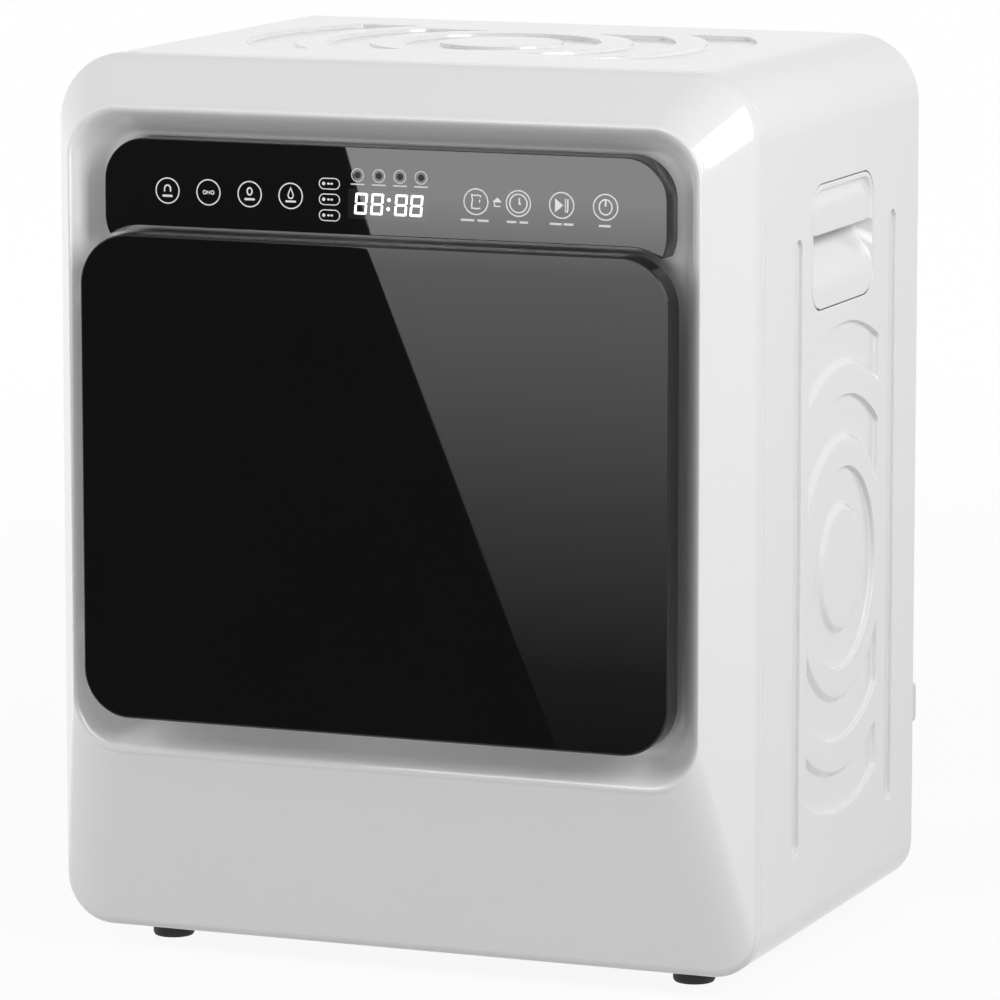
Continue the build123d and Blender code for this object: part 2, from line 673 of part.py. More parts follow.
def grip_pocket():
    """Hand space: in below the lip, then up behind it, with a curved scoop at the bottom."""
    x0, x1 = HALF_WIDTH - GRIP_DEPTH, HALF_WIDTH + 1
    z0 = GRIP_BOTTOM + GRIP_RIM
    z_lip = GRIP_BOTTOM + GRIP_HEIGHT - GRIP_LIP
    z1 = GRIP_BOTTOM + GRIP_HEIGHT - GRIP_RIM
    lip = HALF_WIDTH - GRIP_LIP_WALL
    k = math.sqrt(0.5)
    scoop = GRIP_DEPTH - 3
    y = RELIEF_Y - GRIP_WIDTH / 2
    arc = [(x0, z0 + scoop), (x0 + scoop * (1 - k), z0 + scoop * (1 - k)), (x0 + scoop, z0)]
    edges = [
        Edge.make_three_point_arc(*[(px, y, pz) for px, pz in arc]),
        Edge.make_line((x0 + scoop, y, z0), (x1, y, z0)),
        Edge.make_line((x1, y, z0), (x1, y, z_lip)),
        Edge.make_line((x1, y, z_lip), (lip, y, z_lip)),
        Edge.make_line((lip, y, z_lip), (lip, y, z1)),
        Edge.make_line((lip, y, z1), (x0, y, z1)),
        Edge.make_line((x0, y, z1), (x0, y, z0 + scoop)),
    ]
    space = Solid.extrude(Face(Wire(edges)), Vector(0, GRIP_WIDTH, 0))
    return space & grip_block(x0 - 1, x1 + 1, GRIP_RIM)


def door_outline(y, out=0.0):
    """Outline of the door slab."""
    return outline(
        DOOR_HALF + out, Z_DOOR - out, Z_DOOR_TOP + out, DOOR_TOP_RADIUS + out, DOOR_BOTTOM_RADIUS + out, y,
    )


def door_slab(y0, y1, out=0.0):
    """Door slab between two planes."""
    return Solid.extrude(Face(door_outline(y0, out)), Vector(0, y1 - y0, 0))


def door_glass():
    """Tinted front pane with a bevelled edge."""
    return stack(
        door_outline(Y_DOOR, -GLASS_BEVEL), door_outline(Y_DOOR + GLASS_BEVEL), door_outline(Y_GLASS_BACK),
    )


def door_frame():
    """Black frame behind the pane: rim, back wall with the window hole, hinge notches and lug bores."""
    frame = stack(
        door_outline(Y_GLASS_BACK), door_outline(Y_SLAB_BACK - 2), door_outline(Y_SLAB_BACK, -2.0),
    )
    cavity = door_slab(Y_GLASS_BACK - 1, Y_SLAB_BACK - FRAME_RIM, -(PIVOT_INSET + 12))
    cavity = cavity - rod_y(LINER_RADIUS, Y_DOOR, Y_FLOOR, 0, Z_OPENING)
    well = rod_y(LINER_RADIUS - 6, Y_GLASS_BACK - 1, Y_SLAB_BACK - FRAME_RIM, 0, Z_OPENING)
    frame = frame - cavity - well
    frame = frame - rod_y(WINDOW_RADIUS + FIT, Y_DOOR, Y_FLOOR, 0, Z_OPENING)
    for z in hinge_heights():
        frame = frame - hinge_notch(z)
        frame = frame - rod_z(PIN_RADIUS + PIN_PLAY / 2, z - PIN_LENGTH / 2, z + PIN_LENGTH / 2, PIVOT_X, PIVOT_Y)
    return frame


def hinge_heights():
    """Heights of the two hinges."""
    return (Z_OPENING - HINGE_SPREAD, Z_OPENING + HINGE_SPREAD)


def hinge_notch(z):
    """Space in the door frame that clears the fixed knuckle from shut to wide open."""
    half = KNUCKLE_HEIGHT / 2 + NOTCH_PLAY
    reach = KNUCKLE_RADIUS + NOTCH_PLAY
    return block(-DOOR_HALF - 1, PIVOT_X + reach, Y_GLASS_BACK, Y_SLAB_BACK + 1, z - half, z + half)


def hinge_pins():
    """Pins that hang the door, one in each knuckle."""
    half = PIN_LENGTH / 2
    return [rod_z(PIN_RADIUS, z - half, z + half, PIVOT_X, PIVOT_Y) for z in hinge_heights()]


def bracket_screws():
    """Screw places of the hinge brackets."""
    x = PIVOT_X + KNUCKLE_RADIUS + BRACKET_WIDTH / 2 - 2
    return [(x, z + side * BRACKET_HEIGHT * 0.3) for z in hinge_heights() for side in (-1, 1)]


def hinge_brackets():
    """Fixed brackets on the dish floor: a foot plate and a forward arm with the knuckle."""
    made = []
    for z in hinge_heights():
        y0 = Y_FLOOR - BRACKET_THICKNESS
        x0 = PIVOT_X - KNUCKLE_RADIUS
        half = KNUCKLE_HEIGHT / 2
        foot = block(x0, x0 + BRACKET_WIDTH + 4, y0, Y_FLOOR, z - BRACKET_HEIGHT / 2, z + BRACKET_HEIGHT / 2)
        arm = block(x0, PIVOT_X + KNUCKLE_RADIUS, PIVOT_Y, Y_FLOOR, z - half, z + half)
        knuckle = rod_z(KNUCKLE_RADIUS, z - half, z + half, PIVOT_X, PIVOT_Y)
        body = merged(foot, arm, knuckle)
        body = body - rod_z(PIN_RADIUS + PIN_PLAY, z - half - 1, z + half + 1, PIVOT_X, PIVOT_Y)
        made.append(body)
    for x, z in bracket_screws():
        hole = rod_y(SCREW_RADIUS / 2 + 0.05, Y_FLOOR - 10, Y_FLOOR + 1, x, z)
        made = [body - hole for body in made]
    return made


def hinge_screws():
    """Countersunk-looking round head screws of the hinge brackets."""
    made = []
    for x, z in bracket_screws():
        seat = Y_FLOOR - BRACKET_THICKNESS
        shank = rod_y(SCREW_RADIUS / 2 - 0.05, seat - 0.5, Y_BEHIND_FLOOR, x, z)
        made.append(rod_y(SCREW_RADIUS, seat - SCREW_HEAD, seat, x, z) + shank)
    return made


def door_liner():
    """White ring on the door's back that meets the gasket."""
    ring = cone_y(LINER_RADIUS, LINER_RADIUS - 4, Y_SLAB_BACK, Y_LINER_BACK, 0, Z_OPENING)
    ring = ring - rod_y(WINDOW_RADIUS + FIT, Y_DOOR, Y_FLOOR, 0, Z_OPENING)
    step = tube_y(WINDOW_RADIUS + 8, WINDOW_RADIUS - 1, Y_SLAB_BACK - 1, Y_LINER_BACK - 6, 0, Z_OPENING)
    return ring - step


def door_window():
    """Clear inner window, slightly crowned towards the drum, with a flange held under the liner."""
    flange = rod_y(WINDOW_RADIUS + 7.5, Y_SLAB_BACK, Y_SLAB_BACK + 3, 0, Z_OPENING)
    crown = cone_y(
        WINDOW_RADIUS, WINDOW_RADIUS - 6, Y_SLAB_BACK, Y_LINER_BACK + WINDOW_CROWN, 0, Z_OPENING,
    )
    hollow = cone_y(
        WINDOW_RADIUS - WINDOW_WALL, WINDOW_RADIUS - WINDOW_WALL - 6, Y_SLAB_BACK - 1,
        Y_LINER_BACK + WINDOW_CROWN - WINDOW_WALL, 0, Z_OPENING,
    )
    return flange + crown - hollow


def latch_hook():
    """Hook on the door's back, with its barb towards the middle."""
    half = HOOK_HEIGHT / 2
    x0 = LATCH_X - HOOK_WIDTH / 2
    tip = Y_FLOOR + HOOK_REACH
    points = [
        (x0, Y_SLAB_BACK), (x0 + HOOK_WIDTH, Y_SLAB_BACK), (x0 + HOOK_WIDTH, tip - 3), (x0 + 3, tip),
        (x0 - HOOK_BARB, tip - 3), (x0, tip - 6),
    ]
    hook = prism_z(points, Z_OPENING - half, Z_OPENING + half)
    foot = block(x0 - 6, x0 + HOOK_WIDTH + 6, Y_SLAB_BACK, Y_SLAB_BACK + 2, Z_OPENING - 14, Z_OPENING + 14)
    strike = rod_y(4, Y_SLAB_BACK, Y_FLOOR - 1.5 - FIT, LATCH_X, Z_OPENING - SWITCH_DROP)
    web = block(
        LATCH_X - 4, LATCH_X + 4, Y_SLAB_BACK, Y_SLAB_BACK + 2, Z_OPENING - SWITCH_DROP, Z_OPENING - 10,
    )
    return merged(hook, foot, web, strike)


def latch_catch():
    """Catch housing behind the dish floor, open to the front for the hook."""
    depth = CATCH_DEPTH
    x0, x1 = latch_post()[0] - 7, LATCH_X + LATCH_SLOT_WIDTH / 2 + 4
    z0, z1 = Z_OPENING - LATCH_SLOT_HEIGHT / 2 - 4, Z_OPENING + LATCH_SLOT_HEIGHT / 2 + 4
    y0 = Y_BEHIND_FLOOR
    body = block(x0, x1, y0, y0 + depth, z0, z1)
    space = block(x0 + 2, x1 - 2, y0 - 1, y0 + depth - 2, z0 + 2, z1 - 2)
    body = body - space
    px, py = latch_post()
    return body + rod_z(LATCH_POST, z0, z1, px, py)


def latch_post():
    """Place of the post that the pawl turns on."""
    return LATCH_X - LATCH_SLOT_WIDTH / 2 - 3, Y_BEHIND_FLOOR + 7


def latch_lever():
    """Sprung pawl in the catch, pivoted on its post and resting beside the hook's barb."""
    px, py = latch_post()
    half = HOOK_HEIGHT / 2 - 1
    eye = rod_z(3.6, Z_OPENING - half, Z_OPENING + half, px, py)
    tip = LATCH_X - HOOK_WIDTH / 2 - HOOK_BARB / 4
    y1 = Y_FLOOR + HOOK_REACH - 6 - 0.7
    arm = block(px - 2, tip, y1 - 2.4, y1, Z_OPENING - half, Z_OPENING + half)
    lever = eye + arm
    return lever - rod_z(LATCH_POST + BEARING_PLAY, Z_OPENING - half - 1, Z_OPENING + half + 1, px, py)


def door_switch():
    """Switch body behind the dish floor, bored for its plunger."""
    z = Z_OPENING - SWITCH_DROP
    body = block(LATCH_X - 8, LATCH_X + 8, Y_BEHIND_FLOOR, Y_BEHIND_FLOOR + 13, z - 12, z + 12)
    body = body - rod_y(PLUNGER_RADIUS + 0.05, Y_BEHIND_FLOOR - 1, Y_BEHIND_FLOOR + 9, LATCH_X, z)
    return body


def switch_plunger():
    """Plunger of the door switch, held in by the shut door."""
    z = Z_OPENING - SWITCH_DROP
    return rod_y(PLUNGER_RADIUS, Y_FLOOR - 1.5, Y_BEHIND_FLOOR + 8, LATCH_X, z)


def door_gasket():
    """Rubber ring on the dish floor round the opening."""
    return tube_y(GASKET_OUTER, GASKET_INNER, Y_LINER_BACK + FIT, Y_FLOOR, 0, Z_OPENING)


def panel_face(y, out=0.0):
    """Outline of the control panel: rounded, hollowed below to follow the door's top corners."""
    body = slab(PANEL_HALF + out, Z_PANEL_LOW, Z_PANEL_TOP + out, PANEL_RADIUS + out, PANEL_RADIUS + out, y, y + 60)
    return body - door_slab(y - 1, y + 61, PANEL_DOOR_GAP - out)


def between(shape, y0, y1):
    """The stretch of a shape between two planes across Y."""
    return shape & block(-HALF_WIDTH, HALF_WIDTH, y0, y1, 0, Z_TOP)


def panel_glass():
    """Black touch pane of the control panel."""
    return between(panel_face(Y_PANEL), Y_PANEL, Y_CARRIER)


def panel_carrier():
    """Tray behind the touch pane, standing on the dish floor."""
    body = between(panel_face(Y_CARRIER), Y_CARRIER, Y_FLOOR)
    space = between(panel_face(Y_CARRIER - 1, -CARRIER_WALL), Y_CARRIER - 1, Y_FLOOR - CARRIER_WALL)
    body = body - space
    body = body - panel_loom_hole().moved(Location((0, -CARRIER_WALL, 0)))
    for x in (-PANEL_HALF + 30, -60, 60, PANEL_HALF - 30):
        z = Z_PANEL_TOP - PANEL_RADIUS
        body = body + rod_y(4, Y_BOARD + BOARD_THICKNESS, Y_FLOOR - 1, x, z)
    return body


def control_board():
    """Touch and display board inside the carrier, on its posts."""
    half = PANEL_HALF - 18
    z0, z1 = Z_DOOR_TOP + PANEL_DOOR_GAP + CARRIER_WALL + 3, Z_PANEL_TOP - CARRIER_WALL - 3
    return block(-half, half, Y_BOARD, Y_BOARD + BOARD_THICKNESS, z0, z1)


def display_module():
    """Digit display between the board and the touch pane."""
    z = Z_PANEL_TOP - DISPLAY_DROP
    half = DISPLAY_WIDTH / 2
    return block(
        DISPLAY_X - half, DISPLAY_X + half, Y_CARRIER, Y_BOARD, z - DISPLAY_HEIGHT / 2, z + DISPLAY_HEIGHT / 2,
    )


def front_bulkhead():
    """Inner front sheet with the opening and the collar that carries the drum's front."""
    inset = WALL + FIT + REBATE_WALL + FIT
    sheet = cabinet_section(inset, Y_BULKHEAD, Y_BEHIND_BULKHEAD)
    sheet = sheet - block(-HALF_WIDTH, HALF_WIDTH, Y_EDGE, Y_REAR, 0, Z_TRAY)
    collar = tube_y(COLLAR_RADIUS, COLLAR_RADIUS - SHEET, Y_BULKHEAD, Y_BULKHEAD + COLLAR_LENGTH, 0, DRUM_Z)
    sheet = sheet - rod_y(OPENING_RADIUS + THROAT_WALL + FIT, Y_EDGE, Y_DRUM, 0, Z_OPENING)
    sheet = sheet + collar
    sheet = sheet - rod_y(INLET_RADIUS, Y_EDGE, Y_DRUM, MOTOR_X, MOTOR_Z)
    return sheet


def opening_throat():
    """Ring that lines the opening from the dish floor to the bulkhead, slotted below for the lint filter."""
    ring = tube_y(
        OPENING_RADIUS + THROAT_WALL, OPENING_RADIUS, Y_FLOOR, Y_BEHIND_BULKHEAD, 0, Z_OPENING,
    )
    half = FILTER_HALF + FILTER_PLAY
    slot = FILTER_THICKNESS / 2 + FILTER_PLAY
    return ring - block(-half, half, Y_FILTER - slot, Y_FILTER + slot, Z_DOOR, Z_OPENING - 40)


def duct_shape(inset):
    """Front duct: a filter well over a chamber that leads to the blower inlet."""
    y0, y1 = Y_DUCT + inset, Y_BULKHEAD - inset
    half = FILTER_HALF + FILTER_PLAY + DUCT_WALL - inset
    left = MOTOR_X - INLET_RADIUS - 8 + inset
    bottom = DUCT_BOTTOM + inset
    well = block(-half, half, y0, y1, bottom, Z_OPENING - 60)
    chamber = block(left, half, y0, y1, bottom, MOTOR_Z + INLET_RADIUS + 6 - inset)
    return well + chamber


def front_duct():
    """Duct from the filter well in the opening down to the blower."""
    body = duct_shape(0) - duct_shape(DUCT_WALL)
    body = body - rod_y(OPENING_RADIUS + THROAT_WALL + FIT, Y_DUCT - 5, Y_EDGE + 5, 0, Z_OPENING)
    body = body - rod_y(INLET_RADIUS, Y_BULKHEAD - 5, Y_EDGE + 5, MOTOR_X, MOTOR_Z)
    seat = Z_FILTER - FIT
    half = FILTER_HALF + FILTER_PLAY + DUCT_WALL
    for sx in (-1, 1):
        ends = sorted((sx * half, sx * (half - 5)))
        body = body + block(ends[0], ends[1], Y_DUCT + 1, Y_BULKHEAD - 1, seat - 4, seat)
    return body


def lint_filter_frame():
    """Filter cassette frame with a grip along its top."""
    y0, y1 = Y_FILTER - FILTER_THICKNESS / 2, Y_FILTER + FILTER_THICKNESS / 2
    top = Z_FILTER + FILTER_HEIGHT
    body = block(-FILTER_HALF, FILTER_HALF, y0, y1, Z_FILTER, top)
    body = body - block(-FILTER_HALF + 7, FILTER_HALF - 7, y0 - 1, y1 + 1, Z_FILTER + 7, top - 12)
    body = body + block(-28, 28, y0, y1, top - 2, top + FILTER_GRIP)
    body = body - block(-20, 20, y0 - 1, y0 + 3, top + 1, top + FILTER_GRIP - 3)
    return body


def lint_filter_mesh():
    """Fine sieve plate held in the cassette's window."""
    half = FILTER_HALF - 7
    z0, z1 = Z_FILTER + 7, Z_FILTER + FILTER_HEIGHT - 12
    sheet = block(-half, half, Y_FILTER - 0.4, Y_FILTER + 0.4, z0, z1)
    columns, rows = 18, 10
    pitch_x, pitch_z = 2 * half / columns, (z1 - z0) / rows
    rim = 0.6
    cells = []
    for i in range(columns):
        for j in range(rows):
            x, z = -half + i * pitch_x, z0 + j * pitch_z
            cells.append(block(
                x + rim, x + pitch_x - rim, Y_FILTER - 1, Y_FILTER + 1, z + rim, z + pitch_z - rim,
            ))
    return sheet.cut(*cells)


def drum_shell():
    """Sheet drum: barrel, front ring and the lip that runs on the collar."""
    barrel = tube_y(DRUM_RADIUS, DRUM_RADIUS - DRUM_SHEET, Y_DRUM, Y_DRUM_BACK, 0, DRUM_Z)
    front = tube_y(DRUM_RADIUS - 0.2, LIP_RADIUS, Y_DRUM, Y_DRUM + DRUM_SHEET, 0, DRUM_Z)
    lip = tube_y(LIP_RADIUS + DRUM_SHEET, LIP_RADIUS, Y_DRUM, Y_DRUM + LIP_LENGTH, 0, DRUM_Z)
    return merged(barrel, front, lip)


def drum_back():
    """Rear disc of the drum with rings of air holes round the hub."""
    r = DRUM_RADIUS - DRUM_SHEET
    disc = rod_y(r, Y_DRUM_BACK - DRUM_SHEET, Y_DRUM_BACK, 0, DRUM_Z)
    rim = tube_y(r, r - DRUM_SHEET, Y_DRUM_BACK - 10, Y_DRUM_BACK, 0, DRUM_Z)
    holes = [rod_y(SHAFT_RADIUS + FIT, Y_DRUM_BACK - 5, Y_DRUM_BACK + 5, 0, DRUM_Z)]
    for index, ring in enumerate(AIR_HOLE_RINGS):
        for number in range(AIR_HOLE_COUNT):
            angle = 2 * math.pi * (number + index / 2) / AIR_HOLE_COUNT
            holes.append(rod_y(
                AIR_HOLE_RADIUS, Y_DRUM_BACK - 5, Y_DRUM_BACK + 5,
                ring * math.cos(angle), DRUM_Z + ring * math.sin(angle),
            ))
    return (disc + rim).cut(*holes)


def drum_vanes():
    """Three lifters along the barrel, a third of a turn apart."""
    r = DRUM_RADIUS - DRUM_SHEET
    drop = r - math.sqrt(r * r - (VANE_WIDTH / 2) ** 2)
    y0 = Y_DRUM + LIP_LENGTH + 12
    half, peak = VANE_WIDTH / 2, VANE_WIDTH / 7
    points = [(-half, -r + drop + 0.2), (half, -r + drop + 0.2), (peak, -r + VANE_HEIGHT),
              (-peak, -r + VANE_HEIGHT)]
    wire = Wire.make_polygon([(x, y0, z) for x, z in points], close=True)
    bar = Solid.extrude(Face(wire), Vector(0, VANE_LENGTH, 0))
    bar = bar + (block(-half, half, y0, y0 + VANE_LENGTH, -r, -r + drop + 0.3) & rod_y(r, y0, y0 + VANE_LENGTH))
    bar = fillet(bar.edges().filter_by(Axis.Y).sort_by(Axis.Z)[-2:], 5)
    made = []
    for number in range(3):
        made.append(bar.rotate(Axis.Y, 120 * number).moved(Location((0, 0, DRUM_Z))))
    return made


def drum_shaft():
    """Hub flange on the drum's back and the shaft that turns in the rear bearing."""
    hub = rod_y(HUB_RADIUS, Y_DRUM_BACK, Y_DRUM_BACK + HUB_THICKNESS, 0, DRUM_Z)
    shaft = rod_y(SHAFT_RADIUS, Y_DRUM_BACK - DRUM_SHEET, Y_DRUM_BACK + SHAFT_LENGTH, 0, DRUM_Z)
    return hub + shaft


def rear_bulkhead():
    """Inner rear sheet with the bearing hole, the hot-air windows and the exhaust hole."""
    sheet = cabinet_section(WALL + FIT, Y_REAR_BULKHEAD, Y_PLENUM)
    sheet = sheet - block(-HALF_WIDTH, HALF_WIDTH, Y_EDGE, Y_REAR, 0, Z_DECK)
    sheet = sheet - rod_y(SHAFT_RADIUS + BUSH_WALL + 1, Y_REAR_BULKHEAD - 1, Y_PLENUM + 1, 0, DRUM_Z)
    sheet = sheet - rod_y(EXHAUST_RADIUS + FIT, Y_REAR_BULKHEAD - 1, Y_PLENUM + 1, EXHAUST_X, EXHAUST_Z)
    window = tube_y(AIR_HOLE_RINGS[-1] + 10, AIR_HOLE_RINGS[0] - 10, Y_REAR_BULKHEAD - 1, Y_PLENUM + 1, 0, DRUM_Z)
    spokes = [
        block(-9, 9, Y_REAR_BULKHEAD - 2, Y_PLENUM + 2, -DRUM_RADIUS, DRUM_RADIUS).rotate(Axis.Y, 60 * n)
        for n in range(3)
    ]
    for spoke in spokes:
        window = window - spoke.moved(Location((0, 0, DRUM_Z)))
    return sheet - window


def bearing_housing():
    """Cast boss on the rear bulkhead that holds the bush."""
    y1 = Y_PLENUM + HOUSING_LENGTH
    body = rod_y(HOUSING_RADIUS, Y_PLENUM, Y_PLENUM + 3, 0, DRUM_Z)
    body = body + rod_y(SHAFT_RADIUS + BUSH_WALL + 4, Y_PLENUM, y1, 0, DRUM_Z)
    for number in range(4):
        rib = block(-1.5, 1.5, Y_PLENUM, y1 - 4, 10, HOUSING_RADIUS - 2).rotate(Axis.Y, 90 * number + 45)
        body = body + rib.moved(Location((0, 0, DRUM_Z)))
    return body - rod_y(SHAFT_RADIUS + BUSH_WALL, Y_PLENUM - 1, y1 + 1, 0, DRUM_Z)


def bearing_bush():
    """Bronze bush in which the drum shaft turns."""
    return tube_y(
        SHAFT_RADIUS + BUSH_WALL, SHAFT_RADIUS + BEARING_PLAY, Y_PLENUM, Y_PLENUM + HOUSING_LENGTH, 0, DRUM_Z,
    )


def heater_shape(inset, y0, y1):
    """Plenum over the drum's air windows with a neck up to the intake."""
    top = DRUM_Z + HEATER_RISE - inset
    neck = block(-HEATER_NECK / 2 + inset, HEATER_NECK / 2 - inset, y0, y1, DRUM_Z, top)
    return rod_y(HEATER_RADIUS - inset, y0, y1, 0, DRUM_Z) + neck


def heater_housing():
    """Sheet plenum on the rear bulkhead, from the air intake to the drum's back."""
    y1 = Y_PLENUM + HEATER_DEPTH
    body = heater_shape(0, Y_PLENUM, y1) - heater_shape(SHEET, Y_PLENUM - 1, y1 - SHEET)
    window = intake_window(2)
    return body - window


def heater_element():
    """Finned heating block across the plenum's neck."""
    half = HEATER_NECK / 2 - SHEET - FIT
    y0, y1 = Y_PLENUM + 1, Y_PLENUM + HEATER_DEPTH - SHEET - FIT
    z0 = DRUM_Z + HEATER_RADIUS - 8
    body = block(-half, half, y0, y1, z0, z0 + HEATER_BLOCK_HEIGHT)
    count = 16
    pitch = 2 * (half - 4) / count
    slots = []
    for number in range(count):
        x = -half + 4 + pitch * number
        slots.append(block(x + 0.8, x + pitch - 0.8, y0 + 2, y1 - 2, z0 - 1, z0 + HEATER_BLOCK_HEIGHT + 1))
    return body.cut(*slots)


def thermostats():
    """Two disc thermostats: one on the heater housing's neck, one on the blower channel."""
    x = HEATER_NECK / 2
    z = DRUM_Z + HEATER_RADIUS + HEATER_BLOCK_HEIGHT + 10
    y = Y_PLENUM + HEATER_DEPTH / 2
    plane = Plane(origin=(x, y, z), x_dir=(0, 1, 0), z_dir=(1, 0, 0))
    first = Solid.make_cylinder(8, 9, plane) + block(x, x + 1.5, y - 8, y + 8, z - 14, z + 14)
    z = Z_DECK + CHANNEL_HEIGHT / 2
    second = rod_y(8, Y_BLOWER_BACK, Y_BLOWER_BACK + 9, 0, z)
    second = second + block(-14, 14, Y_BLOWER_BACK, Y_BLOWER_BACK + 1.5, z - 8, z + 8)
    return [first, second]


def intake_grille():
    """Louvred insert in the rear panel's intake window."""
    top = DRUM_Z + HEATER_RISE - 8 - FIT
    half = INTAKE_WIDTH / 2 - FIT
    bottom = DRUM_Z + HEATER_RISE - 8 - INTAKE_HEIGHT + FIT
    body = block(-half, half, Y_PANEL_INNER, Y_REAR, bottom, top)
    body = body + block(-half - 4, half + 4, Y_REAR, Y_REAR + 1.5, bottom - 4, top + 4)
    pitch = (top - bottom - 4) / INTAKE_SLOTS
    slots = []
    for number in range(INTAKE_SLOTS):
        z = bottom + 2 + pitch * number
        slots.append(block(-half + 5, half - 5, Y_PANEL_INNER - 1, Y_REAR + 3, z + 1.0, z + pitch - 1.0))
    return body.cut(*slots)


def channel_limits(inset):
    """Limits of the channel from the blower to the exhaust duct."""
    return (
        MOTOR_X, EXHAUST_X + EXHAUST_RADIUS + 2 - inset, Y_BEHIND_BULKHEAD + inset, Y_BLOWER_BACK - inset,
        Z_DECK + inset, Z_DECK + CHANNEL_HEIGHT - inset,
    )


def blower_housing():
    """Scroll round the impeller and the channel that carries the air across to the exhaust duct."""
    w = BLOWER_WALL
    body = rod_y(BLOWER_RADIUS, Y_BEHIND_BULKHEAD, Y_BLOWER_BACK, MOTOR_X, MOTOR_Z) + block(*channel_limits(0))
    rib = block(
        MOTOR_X - 15, MOTOR_X + 15, Y_BEHIND_BULKHEAD, Y_BLOWER_BACK, Z_DECK, MOTOR_Z - BLOWER_RADIUS + 5,
    )
    space = rod_y(BLOWER_RADIUS - w, Y_BEHIND_BULKHEAD + w, Y_BLOWER_BACK - w, MOTOR_X, MOTOR_Z)
    space = space + block(*channel_limits(w))
    body = body + rib - space
    body = body - rod_y(INLET_RADIUS, Y_BEHIND_BULKHEAD - 1, Y_BEHIND_BULKHEAD + w + 1, MOTOR_X, MOTOR_Z)
    body = body - rod_y(MOTOR_SHAFT_RADIUS + 1, Y_BLOWER_BACK - w - 1, Y_BLOWER_BACK + 1, MOTOR_X, MOTOR_Z)
    bore = EXHAUST_RADIUS - EXHAUST_WALL
    return body - rod_y(bore, Y_BLOWER_BACK - w - 1, Y_BLOWER_BACK + 1, EXHAUST_X, EXHAUST_Z)


def blower_impeller():
    """Radial fan wheel: back disc, hub, blades and front ring."""
    y0 = Y_BEHIND_BULKHEAD + BLOWER_WALL + 4
    y1 = y0 + IMPELLER_LENGTH
    disc = rod_y(IMPELLER_RADIUS, y1 - 1.5, y1, MOTOR_X, MOTOR_Z)
    hub = rod_y(MOTOR_SHAFT_RADIUS + 5, y0 + 8, y1, MOTOR_X, MOTOR_Z)
    ring = tube_y(IMPELLER_RADIUS, INLET_RADIUS + 4, y0, y0 + 1.5, MOTOR_X, MOTOR_Z)
    body = merged(disc, hub, ring)
    count = 16
    for number in range(count):
        blade = block(-0.75, 0.75, y0, y1, INLET_RADIUS + 3, IMPELLER_RADIUS - 0.5)
        blade = blade.rotate(Axis.Y, 360 * number / count)
        body = body + blade.moved(Location((MOTOR_X, 0, MOTOR_Z)))
    return body - rod_y(MOTOR_SHAFT_RADIUS + 0.02, y0, y1 + 1, MOTOR_X, MOTOR_Z)


def exhaust_duct():
    """Straight duct from the blower channel back to the spigot."""
    return tube_y(
        EXHAUST_RADIUS, EXHAUST_RADIUS - EXHAUST_WALL, Y_BLOWER_BACK, Y_PANEL_INNER, EXHAUST_X, EXHAUST_Z,
    )


def exhaust_spigot():
    """Outlet collar on the rear panel for a flexible hose, with a sleeve inside the duct."""
    bore = EXHAUST_RADIUS - 2 * EXHAUST_WALL - FIT
    sleeve = rod_y(EXHAUST_RADIUS - EXHAUST_WALL - FIT, Y_PANEL_INNER - 16, Y_REAR, EXHAUST_X, EXHAUST_Z)
    flange = rod_y(EXHAUST_RADIUS + SPIGOT_FLANGE, Y_REAR, Y_REAR + REAR_PANEL, EXHAUST_X, EXHAUST_Z)
    collar = rod_y(EXHAUST_RADIUS, Y_PANEL_INNER, Y_SPIGOT_END, EXHAUST_X, EXHAUST_Z)
    body = merged(sleeve, flange, collar)
    body = body - rod_y(bore, Y_PANEL_INNER - 20, Y_SPIGOT_END + 1, EXHAUST_X, EXHAUST_Z)
    for x, z in spigot_screws():
        body = body - rod_y(SCREW_RADIUS / 2 + 0.05, Y_REAR - 1, Y_REAR + REAR_PANEL + 1, x, z)
    return body


def motor_body():
    """Motor can with end caps and cooling slots."""
    can = rod_y(MOTOR_RADIUS, Y_MOTOR + 6, Y_MOTOR_BACK - 6, MOTOR_X, MOTOR_Z)
    front = cone_y(MOTOR_RADIUS - 8, MOTOR_RADIUS, Y_MOTOR, Y_MOTOR + 6, MOTOR_X, MOTOR_Z)
    back = cone_y(MOTOR_RADIUS, MOTOR_RADIUS - 8, Y_MOTOR_BACK - 6, Y_MOTOR_BACK, MOTOR_X, MOTOR_Z)
    body = merged(can, front, back)
    return body - rod_y(MOTOR_SHAFT_RADIUS + BEARING_PLAY, Y_MOTOR - 1, Y_MOTOR_BACK + 1, MOTOR_X, MOTOR_Z)


